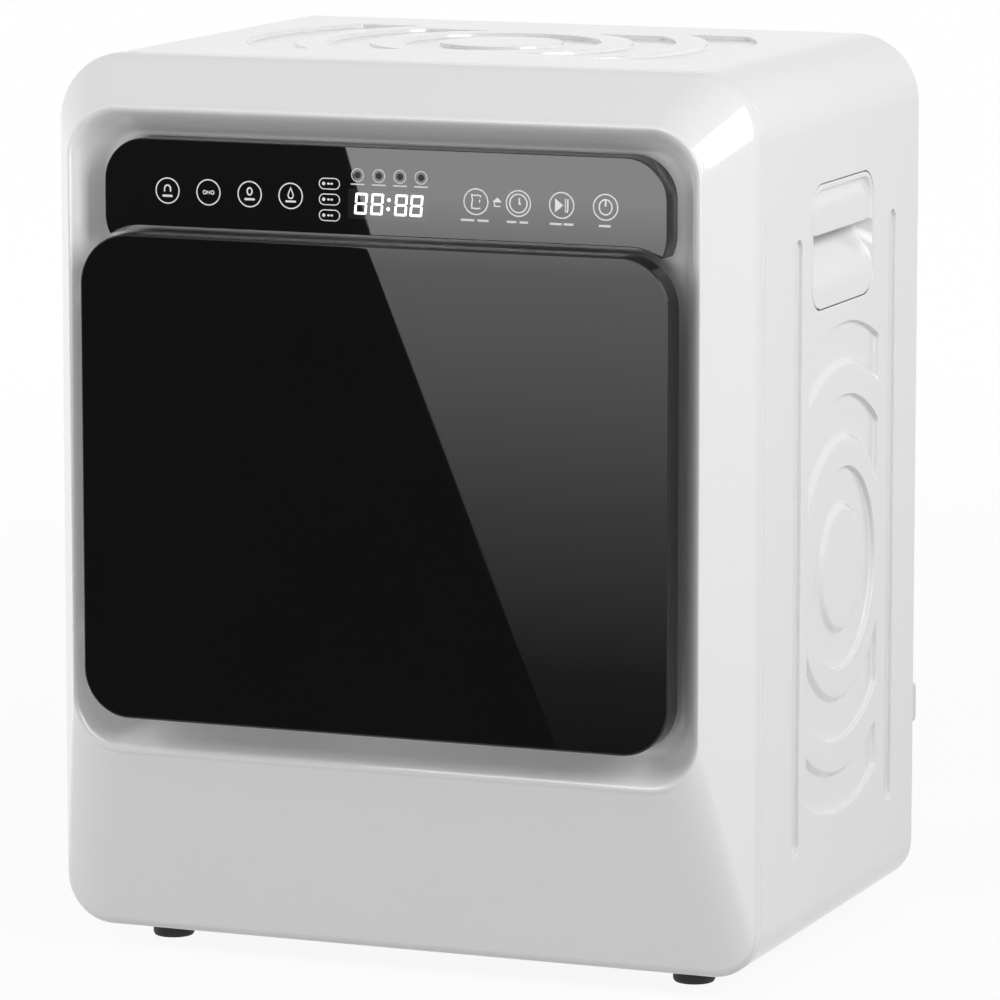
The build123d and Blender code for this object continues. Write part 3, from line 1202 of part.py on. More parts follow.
def motor_bracket():
    """Cradle under the motor, with the post that carries the idler arm."""
    y0, y1 = Y_MOTOR + CRADLE_INSET, Y_MOTOR_BACK - CRADLE_INSET
    half, leg = CRADLE_WIDTH / 2, CRADLE_LEG
    cradle = block(MOTOR_X - half, MOTOR_X + half, y0, y1, Z_DECK, MOTOR_Z - CRADLE_DROP)
    cradle = cradle - rod_y(MOTOR_RADIUS, y0 - 1, y1 + 1, MOTOR_X, MOTOR_Z)
    cradle = cradle - block(
        MOTOR_X - half + leg, MOTOR_X + half - leg, y0 + leg, y1 - leg, Z_DECK - 1, Z_DECK + CRADLE_INSET,
    )
    px, pz = idler_post()
    y_pin = BELT_Y + BELT_WIDTH / 2 + 2 + ARM_THICKNESS
    side = POST_WIDTH / 2
    wall = block(px - side, px + side, y_pin + FIT, y_pin + FIT + ARM_THICKNESS, Z_DECK, pz + side)
    foot = block(px - side, px + side, y1 - 4, y_pin + FIT + ARM_THICKNESS, Z_DECK, Z_DECK + TRAY)
    foot = foot + block(MOTOR_X + half - 4, px + side, y1 - 4, y1, Z_DECK, Z_DECK + TRAY)
    pin = rod_y(IDLER_PIN_RADIUS, y_pin - ARM_THICKNESS - 1, y_pin + FIT + 1, px, pz)
    return merged(cradle, foot, wall, pin)


def belt_geometry():
    """Centres and radii of the drum, the pulley and the idler as the belt meets them."""
    r_drum = DRUM_RADIUS + FIT
    r_pulley = PULLEY_RADIUS + FIT
    return (0.0, DRUM_Z, r_drum), (MOTOR_X, MOTOR_Z, r_pulley)


def tangent_points(a, b, side):
    """Where the straight stretch on one side of two circles touches them."""
    dx, dz = b[0] - a[0], b[1] - a[1]
    distance = math.hypot(dx, dz)
    along = math.atan2(dz, dx)
    lean = side * math.acos((a[2] - b[2]) / distance)
    direction = (math.cos(along + lean), math.sin(along + lean))
    return [(c[0] + c[2] * direction[0], c[1] + c[2] * direction[1]) for c in (a, b)]


def belt_wire(extra):
    """Outline of the belt loop, drawn out by its thickness."""
    drum, pulley = belt_geometry()
    a = (drum[0], drum[1], drum[2] + extra)
    b = (pulley[0], pulley[1], pulley[2] + extra)
    y0 = BELT_Y - BELT_WIDTH / 2
    a1, b1 = tangent_points(a, b, 1)
    a2, b2 = tangent_points(a, b, -1)
    away = math.atan2(a[1] - b[1], a[0] - b[0])
    top = (a[0] + a[2] * math.cos(away), a[1] + a[2] * math.sin(away))
    low = (b[0] - b[2] * math.cos(away), b[1] - b[2] * math.sin(away))
    edges = [
        Edge.make_three_point_arc(*[(p[0], y0, p[1]) for p in (a1, top, a2)]),
        Edge.make_line((a2[0], y0, a2[1]), (b2[0], y0, b2[1])),
        Edge.make_three_point_arc(*[(p[0], y0, p[1]) for p in (b2, low, b1)]),
        Edge.make_line((b1[0], y0, b1[1]), (a1[0], y0, a1[1])),
    ]
    return Wire(edges)


def drive_belt():
    """Flat belt round the drum and the motor pulley."""
    outer = Solid.extrude(Face(belt_wire(BELT_THICKNESS)), Vector(0, BELT_WIDTH, 0))
    inner = Solid.extrude(Face(belt_wire(0)), Vector(0, BELT_WIDTH, 0))
    return outer - inner


def idler_centre():
    """Centre of the idler wheel, just outside the belt's slack side."""
    drum, pulley = belt_geometry()
    a = (drum[0], drum[1], drum[2] + BELT_THICKNESS)
    b = (pulley[0], pulley[1], pulley[2] + BELT_THICKNESS)
    a1, b1 = tangent_points(a, b, 1)
    share = 0.34
    foot = (b1[0] + (a1[0] - b1[0]) * share, b1[1] + (a1[1] - b1[1]) * share)
    dx, dz = a1[0] - b1[0], a1[1] - b1[1]
    length = math.hypot(dx, dz)
    normal = (dz / length, -dx / length)
    if (foot[0] + normal[0] - (a[0] + b[0]) / 2) ** 2 < (foot[0] - normal[0] - (a[0] + b[0]) / 2) ** 2:
        normal = (-normal[0], -normal[1])
    reach = IDLER_RADIUS + FIT
    return foot[0] + normal[0] * reach, foot[1] + normal[1] * reach


def idler_post():
    """Centre of the post that the idler arm turns on, below the wheel."""
    x, z = idler_centre()
    return x, z - IDLER_ARM_LENGTH


def idler_arm():
    """Sprung arm with the axle of the idler wheel."""
    px, pz = idler_post()
    x, z = idler_centre()
    y1 = BELT_Y + BELT_WIDTH / 2 + 2 + ARM_THICKNESS
    y0 = y1 - ARM_THICKNESS
    arm = block(px - 6, px + 6, y0, y1, pz, z)
    arm = merged(arm, rod_y(8, y0, y1, px, pz), rod_y(7, y0, y1, x, z))
    arm = arm - rod_y(IDLER_PIN_RADIUS + BEARING_PLAY, y0 - 2, y1 + 1, px, pz)
    axle = rod_y(IDLER_PIN_RADIUS, BELT_Y - BELT_WIDTH / 2 - 1, y1, x, z)
    return arm + axle


def idler_wheel():
    """Idler wheel that runs on the belt's outside."""
    x, z = idler_centre()
    half = BELT_WIDTH / 2 + 1
    return tube_y(IDLER_RADIUS, IDLER_PIN_RADIUS + BEARING_PLAY, BELT_Y - half + 0.5, BELT_Y + half, x, z)


def motor_shaft():
    """Rotor shaft through the motor, from the fan wheel to the pulley."""
    y0 = Y_BEHIND_BULKHEAD + BLOWER_WALL + 10
    return rod_y(MOTOR_SHAFT_RADIUS, y0, BELT_Y + BELT_WIDTH / 2 + 6, MOTOR_X, MOTOR_Z)


def motor_pulley():
    """Flanged pulley on the motor shaft."""
    half = BELT_WIDTH / 2 + 1
    core = rod_y(PULLEY_RADIUS, BELT_Y - half, BELT_Y + half, MOTOR_X, MOTOR_Z)
    front = rod_y(PULLEY_RADIUS + PULLEY_FLANGE, BELT_Y - half - 2, BELT_Y - half, MOTOR_X, MOTOR_Z)
    back = rod_y(PULLEY_RADIUS + PULLEY_FLANGE, BELT_Y + half, BELT_Y + half + 2, MOTOR_X, MOTOR_Z)
    body = merged(core, front, back)
    return body - rod_y(MOTOR_SHAFT_RADIUS + 0.02, BELT_Y - 20, BELT_Y + 20, MOTOR_X, MOTOR_Z)


def power_board_box():
    """Closed box of the power electronics on the floor plate."""
    half = HALF_WIDTH - BOTTOM_RADIUS
    x0, x1 = EXHAUST_X + EXHAUST_RADIUS + BOX_GAP, half - BOX_GAP / 2
    y0 = Y_BLOWER_BACK + BOX_SETBACK
    body = block(x0, x1, y0, y0 + BOX_LENGTH, Z_DECK, Z_DECK + BOX_HEIGHT)
    return fillet(body.edges().filter_by(Axis.Z), BOX_GAP / 2)


def run_capacitor():
    """Motor run capacitor standing on the floor plate."""
    x = MOTOR_X - MOTOR_RADIUS - CAPACITOR_GAP - CAPACITOR_RADIUS
    y = Y_MOTOR + MOTOR_LENGTH / 2
    top = Z_DECK + CAPACITOR_HEIGHT
    can = rod_z(CAPACITOR_RADIUS, Z_DECK, top, x, y)
    can = can + rod_z(CAPACITOR_RADIUS + 2, Z_DECK, Z_DECK + CAPACITOR_TAG / 2, x, y)
    for side in (-1, 1):
        tag = x + side * CAPACITOR_RADIUS / 3
        can = can + block(tag - 2, tag + 2, y - 1, y + 1, top - 1, top + CAPACITOR_TAG)
    return can


def cord_gland():
    """Gland of the mains lead, without the lead."""
    body = rod_y(GLAND_RADIUS - FIT, Y_PANEL_INNER - 6, Y_REAR, GLAND_X, GLAND_Z)
    body = body + rod_y(GLAND_RADIUS + 3, Y_REAR, Y_REAR + 3, GLAND_X, GLAND_Z)
    body = body + rod_y(GLAND_RADIUS - 2, Y_REAR + 3, Y_REAR + 16, GLAND_X, GLAND_Z)
    body = body + rod_y(GLAND_RADIUS + 3, Y_PANEL_INNER - 6, Y_PANEL_INNER, GLAND_X, GLAND_Z)
    return body - rod_y(3.6, Y_PANEL_INNER - 10, Y_REAR + 20, GLAND_X, GLAND_Z)


def wall_spacers():
    """Two rounded blocks that keep the back off the wall."""
    made = []
    for x, z in spacer_places():
        half = SPACER_WIDTH / 2
        low, high = z - SPACER_HEIGHT / 2, z + SPACER_HEIGHT / 2
        body = stack(
            outline(half, low, high, 5, 5, Y_REAR, x), outline(half, low, high, 5, 5, Y_REAR + SPACER_DEPTH - 3, x),
            outline(half - 2, low + 2, high - 2, 4, 4, Y_REAR + SPACER_DEPTH, x),
        )
        body = body + rod_y(SCREW_RADIUS / 2, Y_PANEL_INNER, Y_REAR + 1, x, z)
        made.append(body)
    return made


def front_felt():
    """Felt band on the collar, just inside the drum's lip."""
    y0 = Y_DRUM + 3
    return tube_y(LIP_RADIUS - FIT, COLLAR_RADIUS, y0, y0 + FELT_WIDTH, 0, DRUM_Z)


def drum_glides():
    """Two low-friction pads on top of the collar, under the drum's lip."""
    y0 = Y_DRUM + 3 + FELT_WIDTH + 1
    ring = tube_y(LIP_RADIUS - FIT, COLLAR_RADIUS, y0, y0 + GLIDE_WIDTH, 0, 0)
    reach = DRUM_RADIUS
    spread = math.tan(math.radians(GLIDE_HALF_ANGLE)) * reach
    sector = prism_y([(0, 0), (-spread, reach), (spread, reach)], y0 - 1, y0 + GLIDE_WIDTH + 1)
    pad = (ring & sector).solids()[0]
    return [pad.rotate(Axis.Y, angle).moved(Location((0, 0, DRUM_Z))) for angle in (-28, 28)]


def nodes():
    """Every separate piece of the dryer under its name."""
    return {
        "cabinet_wrap": cabinet_wrap(),
        "front_fascia": front_fascia(),
        "rear_panel": rear_panel(),
        "base_tray": base_tray(),
        "feet": feet(),
        "grip_right": grip_insert(),
        "grip_left": mirrored(grip_insert()),
        "panel_glass": panel_glass(),
        "panel_carrier": panel_carrier(),
        "control_board": control_board(),
        "display_module": display_module(),
        "front_bulkhead": front_bulkhead(),
        "opening_throat": opening_throat(),
        "door_gasket": door_gasket(),
        "front_felt": front_felt(),
        "drum_glides": drum_glides(),
        "front_duct": front_duct(),
        "blower_housing": blower_housing(),
        "exhaust_duct": exhaust_duct(),
        "exhaust_spigot": exhaust_spigot(),
        "motor_body": motor_body(),
        "motor_bracket": motor_bracket(),
        "drive_belt": drive_belt(),
        "rear_bulkhead": rear_bulkhead(),
        "bearing_housing": bearing_housing(),
        "bearing_bush": bearing_bush(),
        "heater_housing": heater_housing(),
        "heater_element": heater_element(),
        "thermostats": thermostats(),
        "intake_grille": intake_grille(),
        "power_board_box": power_board_box(),
        "run_capacitor": run_capacitor(),
        "cord_gland": cord_gland(),
        "wall_spacers": wall_spacers(),
        "hinge_brackets": hinge_brackets(),
        "hinge_screws": hinge_screws(),
        "latch_catch": latch_catch(),
        "door_switch": door_switch(),
        "rear_screws": rear_screws(),
        "door_glass": door_glass(),
        "door_frame": door_frame(),
        "door_liner": door_liner(),
        "door_window": door_window(),
        "hinge_pins": hinge_pins(),
        "latch_hook": latch_hook(),
        "drum_shell": drum_shell(),
        "drum_back": drum_back(),
        "drum_vanes": drum_vanes(),
        "drum_shaft": drum_shaft(),
        "motor_shaft": motor_shaft(),
        "motor_pulley": motor_pulley(),
        "blower_impeller": blower_impeller(),
        "idler_arm": idler_arm(),
        "idler_wheel": idler_wheel(),
        "lint_filter_frame": lint_filter_frame(),
        "lint_filter_mesh": lint_filter_mesh(),
        "switch_plunger": switch_plunger(),
        "latch_lever": latch_lever(),
    }


def main():
    """Write each piece to its own file."""
    os.makedirs("parts", exist_ok=True)
    for name, shape in nodes().items():
        solids = shape if isinstance(shape, list) else [shape]
        solids = [solid for item in solids for solid in item.solids()]
        node = solids[0] if len(solids) == 1 else Compound(children=solids)
        node.label = name
        export_step(node, os.path.join("parts", name + ".step"))


main()
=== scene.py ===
"""Looks of a compact vented tumble dryer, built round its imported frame.

Sizes in the classes are millimetres in the part's own frame: +X to the right seen from
the front, -Y to the front, +Z up. Meshes are written in metres.
"""
import logging
import math
from dataclasses import dataclass, field
from enum import Enum
from functools import cache
from typing import Callable, Iterable, Optional, Sequence

import bmesh
import bpy
import numpy as np
from mathutils import Matrix, Vector
from mathutils.geometry import tessellate_polygon


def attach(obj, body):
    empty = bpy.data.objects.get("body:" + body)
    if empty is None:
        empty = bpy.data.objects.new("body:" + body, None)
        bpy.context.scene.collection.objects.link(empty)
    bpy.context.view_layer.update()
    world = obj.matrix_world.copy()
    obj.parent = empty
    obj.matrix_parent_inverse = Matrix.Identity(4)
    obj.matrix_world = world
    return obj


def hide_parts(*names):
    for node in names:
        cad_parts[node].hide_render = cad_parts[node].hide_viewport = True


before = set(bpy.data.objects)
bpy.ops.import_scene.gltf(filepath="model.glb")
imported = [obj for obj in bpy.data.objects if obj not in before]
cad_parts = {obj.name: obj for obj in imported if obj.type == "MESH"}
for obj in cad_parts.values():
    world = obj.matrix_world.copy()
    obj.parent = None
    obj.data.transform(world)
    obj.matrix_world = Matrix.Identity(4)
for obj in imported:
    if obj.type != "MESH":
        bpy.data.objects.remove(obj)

LOG = logging.getLogger("dryer")
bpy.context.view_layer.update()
MM = 0.001
WHITE = (1.0, 1.0, 1.0)
Colour = tuple[float, float, float]
Place = tuple[float, float, float]
Loop = np.ndarray
Outline = Callable[[float], Loop]


class Body(Enum):
    """Bodies of the part that a new piece can ride on."""

    CABINET = "cabinet"
    DOOR = "door"


class Slot(Enum):
    """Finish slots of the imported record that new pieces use."""

    WHITE_GLOSS = "white_gloss"
    WHITE_SATIN = "white_satin"
    DOOR_TINT = "door_tint"
    DISPLAY = "display_black"
    BLACK_PLASTIC = "black_plastic"
    COATED_STEEL = "coated_steel"


# ---------------------------------------------------------------- shader groups


def blank_tree(holder: bpy.types.ID) -> bpy.types.NodeTree:
    """Return the emptied node tree of a material or a world.

    Args:
        holder: The material or world.

    Returns:
        The tree, with nothing in it.
    """
    holder.use_nodes = True
    holder.node_tree.nodes.clear()
    return holder.node_tree


def node(tree: bpy.types.NodeTree, kind: str, inputs: Optional[dict] = None, **settings: object) -> bpy.types.Node:
    """Add a shader node.

    Args:
        tree: Tree that gets the node.
        kind: Type of the node, without its first words.
        inputs: Value of each input, or the output that is linked to it.
        **settings: The node's own properties.

    Returns:
        The new node.
    """
    made = tree.nodes.new("ShaderNode" + kind)
    for label, value in settings.items():
        setattr(made, label, value)
    for label, value in (inputs or {}).items():
        socket = made.inputs[label]
        if isinstance(value, bpy.types.NodeSocket):
            tree.links.new(value, socket)
        else:
            socket.default_value = (*value, 1.0) if isinstance(value, tuple) else value
    return made


def spaced(values: dict[str, object]) -> dict[str, object]:
    """Return keyword values under socket names, with blanks for underscores."""
    return {label.replace("_", " "): value for label, value in values.items()}


class ShaderKit:
    """Makes the node groups that several finishes share, each one once."""

    def open(self, name: str, output: str, kind: str = "NodeSocketFloat",
             **inputs: object) -> tuple[bpy.types.NodeTree, bpy.types.NodeOutputs]:
        """Open a new group with one output.

        Args:
            name: Name of the group.
            output: Name of its output.
            kind: Socket type of its output.
            **inputs: Default value of each input, a number or a colour.

        Returns:
            The tree, and the sockets that hold what the group is given.
        """
        tree = bpy.data.node_groups.new(name, "ShaderNodeTree")
        for label, value in spaced(inputs).items():
            colour = isinstance(value, tuple)
            socket = tree.interface.new_socket(name=label, in_out="INPUT",
                                               socket_type="NodeSocketColor" if colour else "NodeSocketFloat")
            socket.default_value = (*value, 1.0) if colour else value
        tree.interface.new_socket(name=output, in_out="OUTPUT", socket_type=kind)
        return tree, tree.nodes.new("NodeGroupInput").outputs

    def close(self, tree: bpy.types.NodeTree, socket: bpy.types.NodeSocket) -> bpy.types.NodeTree:
        """Link the group's output and return the group."""
        tree.links.new(socket, tree.nodes.new("NodeGroupOutput").inputs[0])
        return tree

    def noise(self, tree: bpy.types.NodeTree, scale: object, detail: float) -> bpy.types.NodeSocket:
        """Add a noise texture in object coordinates.

        Args:
            tree: Tree that gets the texture.
            scale: Scale per metre, a number or a socket.
            detail: Octaves of the noise.

        Returns:
            The socket with the noise.
        """
        where = node(tree, "TexCoord").outputs["Object"]
        return node(tree, "TexNoise", {"Vector": where, "Scale": scale, "Detail": detail}).outputs["Fac"]

    def times(self, tree: bpy.types.NodeTree, first: object, second: object) -> bpy.types.NodeSocket:
        """Return the product of two values."""
        return node(tree, "Math", {0: first, 1: second}, operation="MULTIPLY").outputs[0]

    @cache
    def grain(self) -> bpy.types.NodeTree:
        """Return the group that gives the height of a moulded skin: slow waviness and fine grain.

        Returns:
            The group, made at its first use.
        """
        tree, given = self.open("moulded_grain", "Height", Wave_Scale=60.0, Grain_Scale=900.0, Wave=0.5, Grain=0.5)
        wave = self.times(tree, self.noise(tree, given["Wave Scale"], 2.0), given["Wave"])
        fine = self.times(tree, self.noise(tree, given["Grain Scale"], 6.0), given["Grain"])
        return self.close(tree, node(tree, "Math", {0: wave, 1: fine}, operation="ADD").outputs[0])

    @cache
    def rubbing(self) -> bpy.types.NodeTree:
        """Return the group that gives a roughness with handled and wiped patches.

        Returns:
            The group, made at its first use.
        """
        tree, given = self.open("rubbed_patches", "Roughness", Smooth=0.1, Rough=0.3, Scale=18.0)
        mixed = node(tree, "Mix", {"Factor": 0.25, "A": self.noise(tree, given["Scale"], 5.0),
                                   "B": self.noise(tree, 700.0, 2.0)})
        spread = node(tree, "MapRange", {"Value": mixed.outputs["Result"], "From Min": 0.3, "From Max": 0.7,
                                         "To Min": given["Smooth"], "To Max": given["Rough"]})
        return self.close(tree, spread.outputs["Result"])

    @cache
    def tone(self) -> bpy.types.NodeTree:
        """Return the group that shifts a colour slowly over the surface and lays dust on what faces up.

        Returns:
            The group, made at its first use.
        """
        tree, given = self.open("tone_and_dust", "Colour", "NodeSocketColor", Colour=(0.8, 0.8, 0.8),
                                Other=(0.75, 0.75, 0.75), Dust_Colour=(0.45, 0.43, 0.4), Scale=9.0, Dust=0.0)
        base = node(tree, "Mix", {"Factor": self.noise(tree, given["Scale"], 3.0), "A": given["Colour"],
                                  "B": given["Other"]}, data_type="RGBA")
        facing = node(tree, "SeparateXYZ", {"Vector": node(tree, "NewGeometry").outputs["Normal"]})
        up = node(tree, "MapRange", {"Value": facing.outputs["Z"], "From Min": 0.35}).outputs["Result"]
        amount = self.times(tree, self.times(tree, up, self.noise(tree, 260.0, 5.0)), given["Dust"])
        dusty = node(tree, "Mix", {"Factor": amount, "A": base.outputs["Result"], "B": given["Dust Colour"]},
                     data_type="RGBA")
        return self.close(tree, dusty.outputs["Result"])

    @cache
    def streaks(self) -> bpy.types.NodeTree:
        """Return the group that gives drawn or rolled streaks along one axis.

        Returns:
            The group, made at its first use.
        """
        tree, given = self.open("drawn_streaks", "Streak", Along=12.0, Across=900.0)
        scale = node(tree, "CombineXYZ", {"X": given["Across"], "Y": given["Along"], "Z": given["Across"]})
        where = node(tree, "TexCoord").outputs["Object"]
        drawn = node(tree, "VectorMath", {0: where, 1: scale.outputs["Vector"]}, operation="MULTIPLY")
        noise = node(tree, "TexNoise", {"Vector": drawn.outputs["Vector"], "Scale": 1.0, "Detail": 3.0})
        return self.close(tree, noise.outputs["Fac"])

    @cache
    def spangle(self) -> bpy.types.NodeTree:
        """Return the group that gives the crystal pattern of zinc-dipped sheet.

        Returns:
            The group, made at its first use.
        """
        tree, given = self.open("zinc_spangle", "Tone", Scale=90.0)
        where = node(tree, "TexCoord").outputs["Object"]
        cells = node(tree, "TexVoronoi", {"Vector": where, "Scale": given["Scale"]})
        split = node(tree, "SeparateColor", {"Color": cells.outputs["Color"]})
        return self.close(tree, split.outputs["Red"])


class MaterialDraft:
    """One material in the making: a Principled shader and the groups that feed it."""

    def __init__(self, name: str, **constants: object) -> None:
        """Open a material with its shader.

        Args:
            name: Name of the finish.
            **constants: Values of the shader's own sockets.
        """
        self.material = bpy.data.materials.new(name)
        self.tree = blank_tree(self.material)
        self.shader = node(self.tree, "BsdfPrincipled", spaced(constants))
        node(self.tree, "OutputMaterial", {"Surface": self.shader.outputs["BSDF"]})

    def place(self, group: bpy.types.NodeTree, **values: object) -> bpy.types.NodeSocket:
        """Place a group with its own values and return its output."""
        return node(self.tree, "Group", spaced(values), node_tree=group).outputs[0]

    def feed(self, label: str, socket: bpy.types.NodeSocket) -> None:
        """Link an output to one of the shader's inputs."""
        self.tree.links.new(socket, self.shader.inputs[label])

    def bump(self, height: bpy.types.NodeSocket, depth: float) -> None:
        """Feed the shader's normal with a bump of a depth in metres."""
        bump = node(self.tree, "Bump", {"Strength": 1.0, "Distance": depth, "Height": height})
        self.feed("Normal", bump.outputs["Normal"])


@dataclass(frozen=True)
class Moulded:
    """Moulded plastic or rubber: slow tone change, rubbed patches, skin grain and dust."""

    name: str
    colour: Colour
    other: Colour
    smooth: float
    rough: float
    specular: float = 0.5
    wave: float = 0.5
    grain: float = 0.2
    depth: float = 0.00004
    grain_scale: float = 900.0
    coat: float = 0.0
    coat_rough: float = 0.05
    dust: float = 0.0
    sheen: float = 0.0

    def build(self, kit: ShaderKit) -> bpy.types.Material:
        """Make the material.

        Args:
            kit: The node groups that finishes share.

        Returns:
            The new material.
        """
        draft = MaterialDraft(self.name, Specular_IOR_Level=self.specular, Coat_Weight=self.coat,
                              Coat_Roughness=self.coat_rough, Sheen_Weight=self.sheen)
        draft.feed("Base Color", draft.place(kit.tone(), Colour=self.colour, Other=self.other, Dust=self.dust))
        draft.feed("Roughness", draft.place(kit.rubbing(), Smooth=self.smooth, Rough=self.rough))
        draft.bump(draft.place(kit.grain(), Wave=self.wave, Grain=self.grain, Grain_Scale=self.grain_scale),
                   self.depth)
        return draft.material


@dataclass(frozen=True)
class SheetMetal:
    """Bare metal with drawn streaks and, for dipped sheet, its crystal pattern."""

    name: str
    colour: Colour
    other: Colour
    smooth: float
    rough: float
    along: float = 12.0
    across: float = 900.0
    spangle: float = 0.0
    depth: float = 0.00002
    dust: float = 0.0

    def build(self, kit: ShaderKit) -> bpy.types.Material:
        """Make the material.

        Args:
            kit: The node groups that finishes share.

        Returns:
            The new material.
        """
        draft = MaterialDraft(self.name, Metallic=1.0)
        streak = value = draft.place(kit.streaks(), Along=self.along, Across=self.across)
        if self.spangle:
            cells = draft.place(kit.spangle(), Scale=self.spangle)
            value = node(draft.tree, "Mix", {"Factor": 0.7, "A": streak, "B": cells}).outputs["Result"]
        mix = node(draft.tree, "Mix", {"Factor": value, "A": self.colour, "B": self.other}, data_type="RGBA")
        metal = mix.outputs["Result"]
        draft.feed("Base Color", draft.place(kit.tone(), Colour=metal, Other=metal, Dust=self.dust))
        spread = node(draft.tree, "MapRange", {"Value": value, "To Min": self.smooth, "To Max": self.rough})
        draft.feed("Roughness", spread.outputs["Result"])
        draft.bump(streak, self.depth)
        return draft.material


@dataclass(frozen=True)
class Pane:
    """Glass: opaque black backed glass, or clear or tinted glass that shows what is behind it."""

    name: str
    colour: Colour
    smooth: float = 0.01
    rough: float = 0.05
    specular: float = 0.5
    transmission: float = 0.0
    ior: float = 1.5

    def build(self, kit: ShaderKit) -> bpy.types.Material:
        """Make the material.

        Args:
            kit: The node groups that finishes share.

        Returns:
            The new material.
        """
        draft = MaterialDraft(self.name, Base_Color=self.colour, Transmission_Weight=self.transmission, IOR=self.ior,
                              Specular_IOR_Level=self.specular)
        draft.feed("Roughness", draft.place(kit.rubbing(), Smooth=self.smooth, Rough=self.rough, Scale=26.0))
        if not self.transmission:
            paler = tuple(c * 1.25 for c in self.colour)
            draft.feed("Base Color", draft.place(kit.tone(), Colour=self.colour, Other=paler, Dust=0.04))
        return draft.material


@dataclass(frozen=True)
class GlowingMark:
    """Mark that shines by itself a little: the lit display digits, and printed ink given a painted glow."""

    name: str
    colour: Colour
    strength: float

    def build(self, kit: ShaderKit) -> bpy.types.Material:
        """Make the material.

        Args:
            kit: The node groups that finishes share.

        Returns:
            The new material.
        """
        draft = MaterialDraft(self.name, Emission_Color=self.colour, Emission_Strength=self.strength)
        darker = tuple(c * 0.9 for c in self.colour)
        draft.feed("Base Color", draft.place(kit.tone(), Colour=self.colour, Other=darker, Scale=300.0))
        draft.feed("Roughness", draft.place(kit.rubbing(), Smooth=0.35, Rough=0.6, Scale=200.0))
        return draft.material


class Finish(Enum):
    """Every finish of the dryer."""

    WHITE_GLOSS = Moulded("white_gloss_shell", (0.865, 0.867, 0.87), (0.85, 0.852, 0.855), 0.09, 0.16, wave=0.5,
                          grain=0.05, depth=0.00002, coat=0.35, coat_rough=0.03, dust=0.02)
    WHITE_SATIN = Moulded("white_satin_moulding", (0.76, 0.77, 0.77), (0.72, 0.73, 0.74), 0.34, 0.5, grain=0.5,
                          dust=0.1)
    SPACER = Moulded("spacer_white", (0.8, 0.8, 0.8), (0.76, 0.76, 0.76), 0.3, 0.42, grain=0.4, dust=0.06)
    BLACK_PLASTIC = Moulded("black_moulding", (0.010, 0.010, 0.0105), (0.015, 0.015, 0.016), 0.12, 0.2,
                            specular=0.28, grain=0.5, dust=0.02)
    TRAY = Moulded("grey_base_moulding", (0.20, 0.205, 0.21), (0.17, 0.175, 0.18), 0.45, 0.6, grain=0.8, dust=0.3)
    VANE = Moulded("light_grey_vane", (0.55, 0.56, 0.57), (0.5, 0.51, 0.52), 0.28, 0.42, grain=0.4)
    RUBBER = Moulded("black_rubber", (0.012, 0.012, 0.012), (0.02, 0.02, 0.02), 0.5, 0.75, grain=1.0, depth=0.00008,
                     dust=0.1)
    GREY_RUBBER = Moulded("grey_rubber_seal", (0.16, 0.165, 0.17), (0.13, 0.135, 0.14), 0.45, 0.65, grain=0.8,
                          depth=0.00006)
    FELT = Moulded("grey_felt", (0.32, 0.31, 0.30), (0.24, 0.235, 0.23), 0.85, 1.0, specular=0.1, wave=0.3,
                   grain=1.0, depth=0.0004, grain_scale=1400.0, sheen=0.4)
    GLIDE = Moulded("slip_plastic", (0.62, 0.6, 0.53), (0.57, 0.55, 0.49), 0.3, 0.45, grain=0.3)
    MOTOR = Moulded("motor_enamel", (0.09, 0.095, 0.10), (0.12, 0.125, 0.13), 0.35, 0.55, grain=0.9, depth=0.00008,
                    dust=0.2)
    BOARD = Moulded("circuit_board", (0.01, 0.09, 0.045), (0.012, 0.11, 0.055), 0.3, 0.42, grain=0.6)
    DISPLAY = Moulded("display_filter", (0.016, 0.016, 0.017), (0.02, 0.02, 0.021), 0.01, 0.03, wave=0.0, grain=0.02,
                      depth=0.000002)
    CERAMIC = Moulded("heater_ceramic", (0.55, 0.5, 0.42), (0.45, 0.4, 0.33), 0.6, 0.8, grain=1.0, depth=0.0001)
    ZINC = SheetMetal("zinc_sheet", (0.60, 0.62, 0.64), (0.48, 0.50, 0.52), 0.28, 0.5, spangle=80.0, dust=0.1)
    COATED = Moulded("coated_grey_sheet", (0.50, 0.51, 0.52), (0.47, 0.48, 0.49), 0.4, 0.55, grain=0.9,
                     grain_scale=600.0, depth=0.00006, dust=0.08)
    STAINLESS = SheetMetal("stainless_sheet", (0.66, 0.655, 0.64), (0.58, 0.575, 0.565), 0.16, 0.32, along=700.0,
                           across=14.0)
    BRIGHT = SheetMetal("bright_steel", (0.68, 0.68, 0.67), (0.58, 0.58, 0.57), 0.14, 0.3, along=500.0, across=60.0)
    CAST = SheetMetal("cast_alloy", (0.52, 0.53, 0.54), (0.44, 0.45, 0.46), 0.4, 0.6, along=300.0, across=300.0,
                      depth=0.00008)
    BRONZE = SheetMetal("sintered_bronze", (0.55, 0.38, 0.2), (0.45, 0.3, 0.15), 0.35, 0.5, along=500.0,
                        across=500.0, depth=0.00005)
    TINT = Pane("door_tinted_glass", (0.004, 0.004, 0.0042), 0.008, 0.025, specular=0.36)
    BLACK_GLASS = Pane("panel_black_glass", (0.004, 0.004, 0.0042), 0.008, 0.025, specular=0.5)
    CLEAR = Pane("clear_window", (0.95, 0.96, 0.96), 0.01, 0.04, transmission=1.0, ior=1.49)
    # The printed marks glow a little: a painted glow, since the ink is no lamp.
    PRINT = GlowingMark("panel_ink_painted_glow", (0.74, 0.74, 0.74), 0.12)
    DIM_PRINT = GlowingMark("panel_dim_ink_painted_glow", (0.62, 0.62, 0.62), 0.16)
    LENS = Moulded("dark_lamp_lens", (0.02, 0.02, 0.021), (0.03, 0.03, 0.031), 0.5, 0.6, specular=0.2, grain=0.3)
    DIGIT = GlowingMark("display_digit", (0.95, 0.97, 1.0), 1.0)


